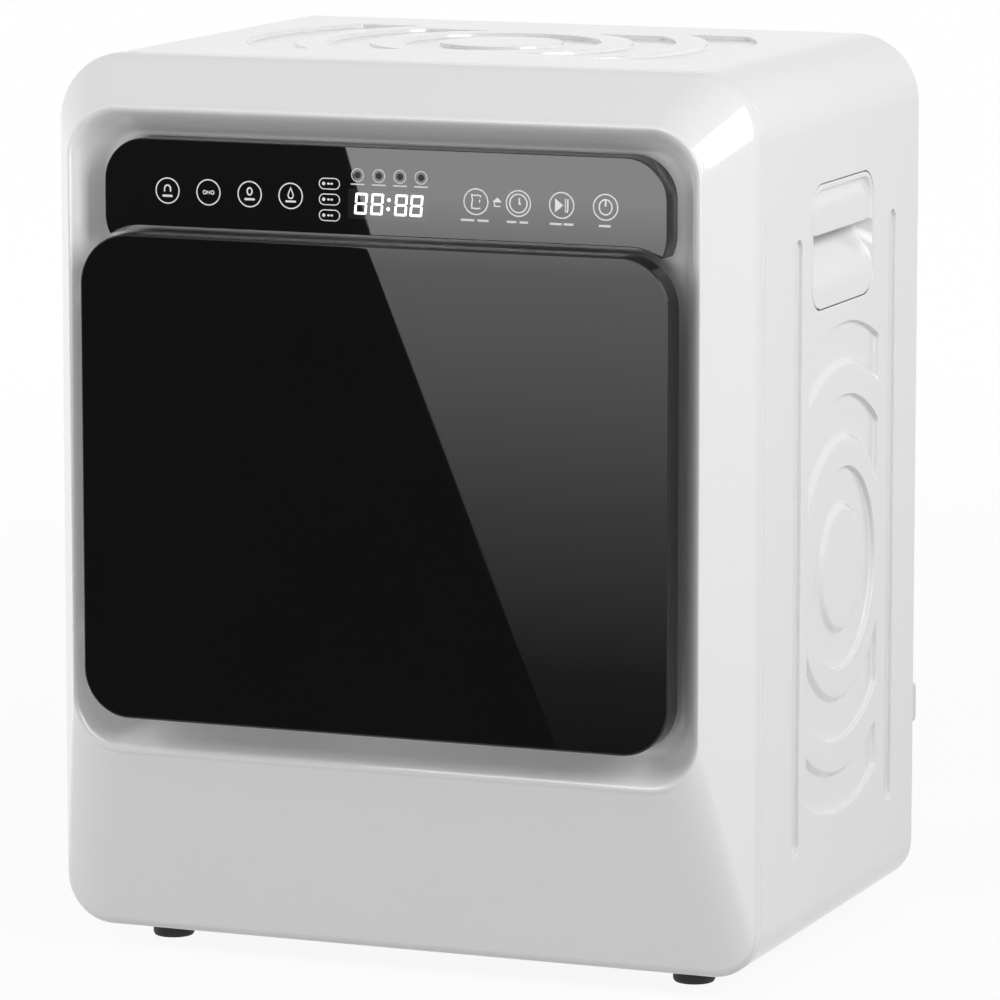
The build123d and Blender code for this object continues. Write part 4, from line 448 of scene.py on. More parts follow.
class Wardrobe:
    """Makes each finish once and puts it on objects."""

    def __init__(self) -> None:
        """Start with nothing made."""
        self.kit = ShaderKit()
        self.made: dict[Finish, bpy.types.Material] = {}

    def get(self, finish: Finish) -> bpy.types.Material:
        """Return the material of a finish.

        Args:
            finish: The finish that is asked for.

        Returns:
            Its material, made at its first use.
        """
        if finish not in self.made:
            self.made[finish] = finish.value.build(self.kit)
        return self.made[finish]

    def dress(self, thing: bpy.types.Object, finish: Finish) -> None:
        """Put one finish on a whole object."""
        thing.data.materials.clear()
        thing.data.materials.append(self.get(finish))


# ---------------------------------------------------------------- mesh making


def put(name: str, data: bpy.types.ID) -> bpy.types.Object:
    """Return a new object with its data, put in the scene.

    Args:
        name: Name of the object.
        data: Its mesh, lamp or camera.

    Returns:
        The object.
    """
    thing = bpy.data.objects.new(name, data)
    bpy.context.scene.collection.objects.link(thing)
    return thing


@dataclass
class Skin:
    """Points and faces gathered for one mesh, in millimetres."""

    points: list[tuple[float, float, float]] = field(default_factory=list)
    faces: list[tuple[int, ...]] = field(default_factory=list)

    def row(self, points: Iterable[Sequence[float]]) -> list[int]:
        """Add a row of points and return their numbers.

        Args:
            points: Points in millimetres.

        Returns:
            Their numbers in this skin.
        """
        start = len(self.points)
        self.points.extend(tuple(float(c) for c in p) for p in points)
        return list(range(start, len(self.points)))

    def bridge(self, first: Sequence[int], second: Sequence[int], closed: bool = True) -> None:
        """Join two rows of as many points with quads.

        Args:
            first: Numbers of one row's points.
            second: Numbers of the other row's points.
            closed: Whether the ends are joined as well.
        """
        count = len(first)
        for i in range(count if closed else count - 1):
            j = (i + 1) % count
            self.faces.append((first[i], first[j], second[j], second[i]))

    def rows(self, rows: Sequence[Loop]) -> list[list[int]]:
        """Add rings of as many points and join each to the next.

        Args:
            rows: Arrays of points, each as long as the others.

        Returns:
            The numbers of each ring's points.
        """
        made = [self.row(r) for r in rows]
        for a, b in zip(made, made[1:]):
            self.bridge(a, b)
        return made

    def sink(self, rows: Sequence[Loop], normal: Place) -> list[int]:
        """Add rings that end in a filled floor.

        Args:
            rows: Rings of points, from the outer one to the floor's.
            normal: Direction that the floor faces.

        Returns:
            The numbers of the outer ring's points.
        """
        made = self.rows(rows)
        self.fill([made[-1]], normal)
        return made[0]

    def fill(self, rings: Sequence[Sequence[int]], normal: Place) -> None:
        """Fill a flat area between an outer ring and its holes.

        Args:
            rings: Numbers of the points of the outer ring and of each hole.
            normal: Direction that the filled faces look to.
        """
        flat = [i for ring in rings for i in ring]
        loops = [[Vector(self.points[i]) for i in ring] for ring in rings]
        want = Vector(normal)
        for a, b, c in tessellate_polygon(loops):
            a, b, c = flat[a], flat[b], flat[c]
            pa, pb, pc = (Vector(self.points[i]) for i in (a, b, c))
            cross = (pb - pa).cross(pc - pa)
            if cross.length < 1e-7:
                continue
            self.faces.append((a, b, c) if cross.dot(want) > 0 else (a, c, b))

    def turn_to(self, normal: Place) -> None:
        """Turn round every face that looks away from a direction.

        Args:
            normal: Direction that the faces should look to.
        """
        want = np.array(normal)
        points = np.array(self.points)
        for i, face in enumerate(self.faces):
            a, b, c = (points[j] for j in face[:3])
            across = np.cross(b - a, c - b)
            if len(face) > 3:
                across = across + np.cross(points[face[3]] - c, a - points[face[3]])
            if across @ want < 0:
                self.faces[i] = tuple(reversed(face))

    def mirror(self) -> "Skin":
        """Return the same skin on the other side of the cabinet."""
        return Skin([(-x, y, z) for x, y, z in self.points], [tuple(reversed(f)) for f in self.faces])

    def add(self, other: "Skin") -> None:
        """Take in another skin.

        Args:
            other: The skin that is taken in.
        """
        start = len(self.points)
        self.points.extend(other.points)
        self.faces.extend(tuple(i + start for i in f) for f in other.faces)

    def make(self, name: str, weld: float = 0.0) -> bpy.types.Object:
        """Write the mesh as an object in metres, shaded smooth.

        Args:
            name: Name of the object.
            weld: Distance in millimetres under which points become one.

        Returns:
            The new object.
        """
        mesh = bpy.data.meshes.new(name)
        mesh.from_pydata([tuple(c * MM for c in p) for p in self.points], [], self.faces)
        mesh.validate()
        mesh.update()
        if weld:
            work = bmesh.new()
            work.from_mesh(mesh)
            bmesh.ops.remove_doubles(work, verts=work.verts, dist=weld * MM)
            bmesh.ops.recalc_face_normals(work, faces=work.faces)
            work.to_mesh(mesh)
            work.free()
        for polygon in mesh.polygons:
            polygon.use_smooth = True
        return put(name, mesh)


def solid_skin(thing: bpy.types.Object, thickness: float, even: bool = True) -> None:
    """Give a surface its wall thickness in millimetres, inwards, as even as its folds allow.

    Args:
        thing: The object.
        thickness: Thickness of the wall.
        even: Whether the wall stays as thick at folds.
    """
    wall = thing.modifiers.new("wall", "SOLIDIFY")
    wall.thickness = thickness * MM
    wall.offset = -1.0
    wall.use_even_offset = even


def even_normals(thing: bpy.types.Object, angle: float = 35.0) -> None:
    """Shade large flats flat and small curves smooth, with edges over an angle in degrees kept sharp.

    Args:
        thing: The object.
        angle: Angle between two faces, from which their edge is sharp.
    """
    thing.data.set_sharp_from_angle(angle=math.radians(angle))
    weigh = thing.modifiers.new("normals", "WEIGHTED_NORMAL")
    weigh.mode = "FACE_AREA"
    weigh.weight = 80
    weigh.keep_sharp = True


def unit(vectors: Loop) -> Loop:
    """Return the vectors scaled to length one."""
    return vectors / np.maximum(np.linalg.norm(vectors, axis=-1, keepdims=True), 1e-9)


def curve(t: float, start: Loop, corner: Loop, end: Loop) -> Loop:
    """Return the point at a share of the way along a curve that a corner draws towards itself."""
    return (1 - t) ** 2 * start + 2 * t * (1 - t) * corner + t * t * end


def rounded(before: Loop, corner: Loop, after: Loop, reach: Loop, steps: int) -> list[Loop]:
    """Round the corner of a profile that runs through three rows.

    Args:
        before: Row before the corner.
        corner: Row of the corner.
        after: Row after the corner.
        reach: Distance from the corner at which the round starts and ends, for each point.
        steps: Number of faces across the round.

    Returns:
        The rows of the round, from its start to its end.
    """
    reach = np.broadcast_to(np.asarray(reach, float), (len(corner),))[:, None]
    start = corner + unit(before - corner) * reach
    end = corner + unit(after - corner) * reach
    return [curve(t, start, corner, end) for t in np.linspace(0.0, 1.0, steps + 1)]


def smooth(share: float) -> float:
    """Return a soft step from zero to one."""
    t = min(max(share, 0.0), 1.0)
    return t * t * (3 - 2 * t)


def between(first: Loop, last: Loop, count: int) -> list[Loop]:
    """Return rows spread evenly between two rows, without these two."""
    return [first + (last - first) * (i / (count + 1)) for i in range(1, count + 1)]


@dataclass(frozen=True)
class RoundedBox:
    """Rounded rectangle seen from the front, with its own radius at the top and at the bottom."""

    half: float
    low: float
    high: float
    top_radius: float
    bottom_radius: float

    def loop(self, y: float, straight: int = 6, arc: int = 20, out: float = 0.0) -> Loop:
        """Return the outline's points in a plane across Y, always in one order.

        Args:
            y: Place of the plane.
            straight: Points along each straight side.
            arc: Points along each corner.
            out: Distance by which the outline grows.

        Returns:
            The points, anticlockwise seen from the front.
        """
        half, low, high = self.half + out, self.low - out, self.high + out
        top, bottom = self.top_radius + out, self.bottom_radius + out
        corners = (
            (half - bottom, low + bottom, bottom, -90.0), (half - top, high - top, top, 0.0),
            (-half + top, high - top, top, 90.0), (-half + bottom, low + bottom, bottom, 180.0),
        )

        def on_arc(corner: tuple[float, float, float, float], past: float) -> Loop:
            """Return the point of a corner's arc at an angle in degrees past its start.

            Args:
                corner: Middle, radius and starting angle of the corner.
                past: Angle past the start.

            Returns:
                The point.
            """
            x, z, radius, start = corner
            angle = math.radians(start + past)
            return np.array((x + radius * math.cos(angle), y, z + radius * math.sin(angle)))

        points: list[Loop] = []
        for before, corner in zip((corners[-1], *corners[:-1]), corners):
            last, begin = on_arc(before, 90.0), on_arc(corner, 0.0)
            points += [last + (begin - last) * i / straight for i in range(straight)]
            points += [on_arc(corner, 90.0 * i / arc) for i in range(arc)]
        return np.array(points)


def circle(radius: float, y: float, x: float, z: float, count: int = 96) -> Loop:
    """Return the points of a circle in a plane across Y."""
    turn = np.linspace(0.0, 2 * math.pi, count, endpoint=False)
    return np.stack([x + radius * np.cos(turn), np.full(count, y), z + radius * np.sin(turn)], axis=1)


def rectangle(x0: float, x1: float, z0: float, z1: float, y: float) -> Loop:
    """Return the corners of a rectangle in a plane across Y."""
    return np.array([(x0, y, z0), (x1, y, z0), (x1, y, z1), (x0, y, z1)])


@dataclass
class Workshop:
    """What every builder needs: the finishes and a list of what has been made."""

    wardrobe: Wardrobe = field(default_factory=Wardrobe)
    done: list[str] = field(default_factory=list)

    def finish(self, thing: bpy.types.Object, finish: Finish, body: Body, slot: Optional[Slot] = None,
               stands_for: Sequence[str] = ()) -> bpy.types.Object:
        """Dress a new piece, let it ride and hide the nodes it stands for.

        Args:
            thing: The piece.
            finish: Its finish.
            body: The body it moves with.
            slot: The record's slot that the finish belongs to. Not used.
            stands_for: Nodes of the part that it replaces.

        Returns:
            The piece.
        """
        self.wardrobe.dress(thing, finish)
        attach(thing, body.value)
        if stands_for:
            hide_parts(*stands_for)
        self.done.append(thing.name)
        LOG.info("made %s", thing.name)
        return thing


# ---------------------------------------------------------------- cabinet


@dataclass
class FrontShell:
    """White front frame: soft outer edge, sloping sides, rounded ridge, dish and floor with its openings."""

    shop: Workshop
    half: float = 245.0
    low: float = 13.0
    high: float = 600.0
    y_ridge: float = -189.5
    y_edge: float = -148.5
    y_seam: float = -139.0
    y_floor: float = -165.5
    ridge_side: float = 25.0
    ridge_top: float = 31.0
    ridge_low: float = 130.5
    ridge_radius: float = 35.0
    top_radius: float = 45.0
    low_radius: float = 31.0
    land: float = 2.0
    rebate: float = 2.7
    rebate_depth: float = 8.0
    seam_edge: float = 0.35
    edge_round: float = 7.0
    edge_sharper: float = 2.0
    ridge_out: float = 4.4
    ridge_in: float = 14.0
    floor_round: float = 5.0
    dish_inset: float = 19.5
    dish_radius: float = 22.0
    opening_z: float = 330.3
    opening_radius: float = 125.3
    latch_x: float = 183.0
    latch_slot: tuple[float, float] = (7.0, 15.0)
    switch_drop: float = 62.0
    switch_radius: float = 3.3
    display_slot: tuple[float, float, float, float] = (-20.0, 20.0, 514.5, 530.5)
    wall: float = 2.4

    def slope(self, depth: float) -> RoundedBox:
        """Return the outside's outline at a depth behind the ridge.

        Args:
            depth: Distance behind the ridge.

        Returns:
            The outline there.
        """
        rest = 1 - depth / (self.y_edge - self.y_ridge)
        return RoundedBox(
            self.half - self.ridge_side * rest, self.low + self.ridge_low * rest, self.high - self.ridge_top * rest,
            self.ridge_radius * rest + self.top_radius * (1 - rest),
            self.ridge_radius * rest + self.low_radius * (1 - rest),
        )

    def dish(self, depth: float) -> RoundedBox:
        """Return the dish's outline at a depth behind the ridge.

        Args:
            depth: Distance behind the ridge.

        Returns:
            The outline there.
        """
        share = depth / (self.y_floor - self.y_ridge)
        inset = self.land + (self.dish_inset - self.land) * share
        radius = self.ridge_radius - self.land + (self.dish_radius - self.ridge_radius + self.land) * share
        return RoundedBox(self.half - self.ridge_side - inset, self.low + self.ridge_low + inset,
                          self.high - self.ridge_top - inset, radius, radius)

    def profile(self) -> list[Loop]:
        """Return all rows of the shell, from the rebate behind the seam to the dish floor.

        Returns:
            Rings of as many points, from behind the seam inwards.
        """
        section = RoundedBox(self.half, self.low, self.high, self.top_radius, self.low_radius)
        straight = section.loop(self.y_seam - 0.6)
        rows = [section.loop(self.y_seam + self.rebate_depth, out=-self.rebate),
                section.loop(self.y_seam + 0.1, out=-self.rebate),
                section.loop(self.y_seam - 0.1, out=-self.seam_edge), straight]
        edge = section.loop(self.y_edge)
        crest = self.slope(0.0).loop(self.y_ridge)
        inner = self.dish(0.0).loop(self.y_ridge)
        floor = self.dish(self.y_floor - self.y_ridge).loop(self.y_floor)
        middle = self.dish(self.y_floor - self.y_ridge).loop(self.y_floor, out=-20.0)
        half_height = 290.0
        up = np.clip((edge - edge.mean(axis=0))[:, 2] / half_height, 0.0, 1.0) ** 6
        rows += rounded(straight, edge, crest, self.edge_round - self.edge_sharper * up, 8)
        start = crest + unit(edge - crest) * self.ridge_out
        end = inner + unit(floor - inner) * self.ridge_in
        rows += between(rows[-1], start, 5)
        # The middle of a cubic takes an eighth of each end, and this lift brings it up to the crest.
        lift = ((start - crest)[:, 1] + (end - inner)[:, 1]) / 6.0
        first, second = crest.copy(), inner.copy()
        first[:, 1] -= lift
        second[:, 1] -= lift
        for t in np.linspace(0.0, 1.0, 11):
            rows.append((1 - t) ** 3 * start + 3 * t * (1 - t) ** 2 * first + 3 * t * t * (1 - t) * second
                        + t ** 3 * end)
        low_round = rounded(inner, floor, middle, self.floor_round, 6)
        rows += between(end, low_round[0], 3)
        rows += low_round
        return rows

    def build(self) -> bpy.types.Object:
        """Make the shell.

        Returns:
            The shell, which stands for the plain frame.
        """
        skin = Skin()
        made = skin.rows(self.profile())
        x, y, z = self.latch_x, self.y_floor, self.opening_z
        wide, tall = self.latch_slot
        holes = [
            skin.row(circle(self.opening_radius, y, 0.0, z)),
            skin.row(rectangle(x - wide, x + wide, z - tall, z + tall, y)),
            skin.row(circle(self.switch_radius, y, x, z - self.switch_drop, 24)),
            skin.row(rectangle(*self.display_slot, y)),
        ]
        skin.fill([made[-1], *holes], (0.0, -1.0, 0.0))
        thing = skin.make("front_shell")
        solid_skin(thing, self.wall)
        even_normals(thing, 50.0)
        return self.shop.finish(thing, Finish.WHITE_GLOSS, Body.CABINET, Slot.WHITE_GLOSS, ["front_fascia"])


@dataclass
class SunkShape:
    """One sunk area of a flat wall: a closed outline that can be drawn in by a distance."""

    outline: Outline
    depth: float = 3.4
    slope: float = 0.5
    soft: float = 0.35

    def steps(self) -> list[tuple[float, float]]:
        """Return pairs of distance inside the outline and depth, across the sloping edge.

        Returns:
            The pairs, from just outside the edge to the floor.
        """
        far = self.soft * 1.6
        corners = np.array([(-far, 0.0), (0.0, 0.0), (self.slope, self.depth), (self.slope + far, self.depth)])
        made = [(-far - 1.2, 0.0)]
        for before, corner, after in (corners[0:3], corners[1:4]):
            turn = rounded(before[None], corner[None], after[None], self.soft * 1.25, 4)
            made += [(float(p[0, 0]), float(p[0, 1])) for p in turn]
        return [*made, (self.slope + far + 1.0, self.depth)]


def arc_points(radius: float, start: float, end: float, count: int) -> list[tuple[float, float]]:
    """Return points on an arc round the origin, angles in radians, both ends included."""
    return [(radius * math.cos(start + (end - start) * i / (count - 1)),
             radius * math.sin(start + (end - start) * i / (count - 1))) for i in range(count)]


def ring_outline(radius: float, sign: float) -> Outline:
    """Return the outline of a full circle that shrinks, or with a negative sign grows, when drawn in.

    Args:
        radius: Its radius.
        sign: Plus one for an outer edge, minus one for an inner one.

    Returns:
        A function from the inset to the closed outline.
    """
    def outline(inset: float) -> Loop:
        """Return the circle's points at an inset."""
        return np.array(arc_points(radius - sign * inset, 0.0, 2 * math.pi, 97)[:-1])
    return outline


def band_outline(inner: float, outer: float, half: float, side: float, turned: bool, ease: float) -> Outline:
    """Return the outline of a ring's part that lies in a band, on one side of the middle.

    Args:
        inner: Inner radius.
        outer: Outer radius.
        half: Half the band's width.
        side: Plus one or minus one along the band.
        turned: Whether the band runs along the second axis.
        ease: How much wider the slope at the inner radius is than the others.

    Returns:
        A function from the inset to the closed outline, with softly rounded corners.
    """
    def turn(*corner: tuple[float, float]) -> list[Loop]:
        """Return the points of a rounded corner, without its start and end."""
        return [curve(t, *np.array(corner)) for t in np.linspace(0.0, 1.0, 7)[1:-1]]

    def outline(inset: float) -> Loop:
        """Return the band part's points at an inset.

        Args:
            inset: Distance by which it is drawn in.

        Returns:
            The closed outline.
        """
        reach = max(2.6 - 0.3 * inset, 0.8)
        w = half - inset
        r_out, r_in = outer - inset, inner + inset * ease
        b_out, b_in = (math.asin(min(w / r, 0.999)) for r in (r_out, r_in))
        a_out, a_in = r_out * math.cos(b_out), r_in * math.cos(b_in)
        far = arc_points(r_out, reach / r_out - b_out, b_out - reach / r_out, 34)
        near = arc_points(r_in, b_in - reach / r_in, reach / r_in - b_in, 26)
        top = [(a_out - reach, w), (a_in + reach, w)]
        low = [(a_in + reach, -w), (a_out - reach, -w)]
        made = side * np.array([
            *far, *turn(far[-1], (a_out, w), top[0]), *top, *turn(top[1], (a_in, w), near[0]),
            *near, *turn(near[-1], (a_in, -w), low[0]), *low, *turn(low[1], (a_out, -w), far[0]),
        ])
        return made[:, ::-1] if turned else made
    return outline


def groove_outline(centre: float, low: float, high: float, width: float) -> Outline:
    """Return the outline of a straight groove with round ends, along the second axis.

    Args:
        centre: Middle of the groove on the first axis.
        low: Its lower end.
        high: Its upper end.
        width: Its width.

    Returns:
        A function from the inset to the closed outline.
    """
    def outline(inset: float) -> Loop:
        """Return the groove's points at an inset.

        Args:
            inset: Distance by which it is drawn in.

        Returns:
            The closed outline.
        """
        radius = width / 2 - inset
        top = [(centre + x, high - width / 2 + y) for x, y in arc_points(radius, 0.0, math.pi, 17)]
        bottom = [(centre + x, low + width / 2 + y) for x, y in arc_points(radius, math.pi, 2 * math.pi, 17)]
        return np.array(top + bottom)
    return outline


def box_outline(x: float, z: float, width: float, height: float, radius: float, arc: int = 14) -> Outline:
    """Return the outline of a rounded rectangle round a centre.

    Args:
        x: Middle on the first axis.
        z: Middle on the second axis.
        width: Its width.
        height: Its height.
        radius: Radius of its corners.
        arc: Points along each corner.

    Returns:
        A function from the inset to the closed outline.
    """
    def outline(inset: float) -> Loop:
        """Return the rectangle's points at an inset."""
        box = RoundedBox(width / 2, -height / 2, height / 2, radius, radius).loop(0.0, 1, arc, -inset)
        return np.stack([box[:, 0] + x, box[:, 2] + z], axis=1)
    return outline


@dataclass(frozen=True)
class RingSet:
    """Sizes of one set of sunk rings: the middle ring and the clipped bands around it."""

    middle: float = 22.0
    bands: tuple[tuple[float, float], ...] = ((86.0, 116.0), (136.0, 164.5))
    ring: tuple[float, float] = (40.0, 68.0)
    strip: float = 73.0
    depth: float = 3.4
    ease: float = 8.0
    disc_soft: float = 1.2
    fullest: float = 0.9


@dataclass
class CabinetWrap:
    """Top, sides and curled-under edges in one moulding, with sunk rings, grooves and the grip cutouts."""

    shop: Workshop
    half: float = 245.0
    low: float = 13.0
    high: float = 600.0
    top_radius: float = 45.0
    low_radius: float = 31.0
    y_front: float = -138.6
    y_back: float = 177.5
    wall: float = 2.4
    under: float = 165.0
    side_rings: RingSet = RingSet()
    top_rings: RingSet = RingSet(25.0, ((88.0, 117.0), (138.0, 171.0)), (41.0, 67.0), 97.0, 2.3, 1.0, 0.35)
    relief_z: float = 258.0
    groove_y: float = 25.0
    groove_spread: float = 97.0
    groove_width: float = 14.0
    groove_low: float = 80.0
    groove_high: float = 487.0
    groove_edge: Place = (2.9, 0.4, 0.3)
    grip_y: float = 17.0
    grip_size: Place = (129.0, 83.0, 20.0)
    grip_z: float = 477.5
    grip_edge: tuple[tuple[float, float], ...] = ((-3.0, 0.0), (-0.8, 0.0), (-0.45, 0.08), (-0.15, 0.3), (0.0, 0.7))
    edge: float = 0.9

    def relief(self, skin: Skin, place: Callable[[Loop, float], Loop], normal: Place, centre: tuple[float, float],
               turned: bool, sizes: RingSet) -> list[list[int]]:
        """Sink the rings into a flat wall.

        Args:
            skin: The mesh in the making.
            place: Takes flat points and a depth and gives points in space.
            normal: Direction that the wall faces.
            centre: Middle of the rings in the wall's own axes.
            turned: Whether the clipped bands lie along the second axis.
            sizes: Sizes of the rings.

        Returns:
            The outer rings of the sunk areas, as holes of the wall around them.
        """
        def edges(outline: Outline, slope: float = 0.5, soft: float = 0.35) -> list[Loop]:
            """Return the rows of the sloping edge of one outline."""
            shape = SunkShape(outline, sizes.depth, slope, soft)
            return [place(outline(inset) + np.array(centre), sunk) for inset, sunk in shape.steps()]

        outer = skin.rows(edges(ring_outline(sizes.ring[1], 1.0)))
        inner = skin.rows(edges(ring_outline(sizes.ring[0], -1.0), 0.5 * sizes.ease, sizes.disc_soft))
        skin.fill([outer[-1], inner[-1]], normal)
        skin.fill([inner[0]], normal)
        holes = [outer[0]]
        for low, high in sizes.bands:
            for side in (-1.0, 1.0):
                half = min(sizes.strip, sizes.fullest * low)
                outline = band_outline(low, high, half, side, turned, sizes.ease)
                holes.append(skin.sink(edges(outline), normal))
        return holes

    def side(self) -> Skin:
        """Return the flat right wall with its relief and the grip cutout.

        Returns:
            The wall, with the cutout left open for the grip.
        """
        skin = Skin()

        def place(flat: Loop, depth: float) -> Loop:
            """Put points of the wall's plane in space."""
            return np.stack([np.full(len(flat), self.half - depth), flat[:, 0], flat[:, 1]], axis=1)

        normal = (1.0, 0.0, 0.0)
        holes = self.relief(skin, place, normal, (self.side_rings.middle, self.relief_z), True, self.side_rings)
        for spread in (-1, 1):
            shape = SunkShape(groove_outline(self.groove_y + spread * self.groove_spread, self.groove_low,
                                             self.groove_high, self.groove_width), *self.groove_edge)
            holes.append(skin.sink([place(shape.outline(i), d) for i, d in shape.steps()], normal))
        grip = box_outline(self.grip_y, self.grip_z, *self.grip_size)
        holes.append(skin.rows([place(grip(i), d) for i, d in self.grip_edge])[0])
        front, back = self.y_front + self.edge, self.y_back - self.edge
        low, high = self.low + self.low_radius, self.high - self.top_radius
        wall = skin.row(place(np.array([(front, low), (back, low), (back, high), (front, high)]), 0.0))
        skin.fill([wall, *holes], normal)
        return skin

    def top(self) -> Skin:
        """Return the flat top with its relief.

        Returns:
            The top between its two rounded edges.
        """
        skin = Skin()

        def place(flat: Loop, depth: float) -> Loop:
            """Put points of the top's plane in space."""
            return np.stack([flat[:, 0], flat[:, 1], np.full(len(flat), self.high - depth)], axis=1)

        normal = (0.0, 0.0, 1.0)
        holes = self.relief(skin, place, normal, (0.0, self.top_rings.middle), False, self.top_rings)
        right, front, back = self.half - self.top_radius, self.y_front + self.edge, self.y_back - self.edge
        wall = skin.row(place(np.array([(-right, front), (right, front), (right, back), (-right, back)]), 0.0))
        skin.fill([wall, *holes], normal)
        return skin

    def section(self, inset: float) -> Loop:
        """Return the open section from one curled-under edge over the top to the other, in X and Z.

        Args:
            inset: Distance by which the rounded edges are drawn in.

        Returns:
            The section's points in X and Z.
        """
        def quarter(cx: float, cz: float, radius: float, start: float) -> list[tuple[float, float]]:
            """Return the points of one corner."""
            turn = np.radians(np.linspace(start, start + 90.0, 21))
            return [(cx + radius * math.cos(a), cz + radius * math.sin(a)) for a in turn]

        low, high = self.low_radius, self.top_radius
        right = quarter(self.half - low, self.low + low, low - inset, -90.0)
        right += quarter(self.half - high, self.high - high, high - inset, 0.0)
        line = [(self.under, self.low + inset), *right]
        return np.array(line + [(-x, z) for x, z in reversed(line)])

    def build(self) -> bpy.types.Object:
        """Make the wrap.

        Returns:
            The wrap, which stands for the plain one.
        """
        skin = Skin()
        ends = [(self.y_front, self.edge), (self.y_front + 0.25 * self.edge, self.edge * 0.35),
                (self.y_front + self.edge, 0.0), (self.y_back - self.edge, 0.0),
                (self.y_back - 0.3 * self.edge, 0.3 * self.edge), (self.y_back, self.edge)]
        rows = []
        for y, inset in ends:
            line = self.section(inset)
            rows.append(skin.row(np.stack([line[:, 0], np.full(len(line), y), line[:, 1]], axis=1)))
        count = len(rows[0])
        flats = {21, 42, count - 23}
        for a, b in zip(rows, rows[1:]):
            skin.faces += [(a[i], a[i + 1], b[i + 1], b[i]) for i in range(count - 1)
                           if a is not rows[2] or i not in flats]
        side = self.side()
        skin.add(side)
        skin.add(side.mirror())
        skin.add(self.top())
        thing = skin.make("cabinet_shell", weld=0.01)
        solid_skin(thing, self.wall)
        even_normals(thing, 50.0)
        return self.shop.finish(thing, Finish.WHITE_GLOSS, Body.CABINET, Slot.WHITE_GLOSS, ["cabinet_wrap"])


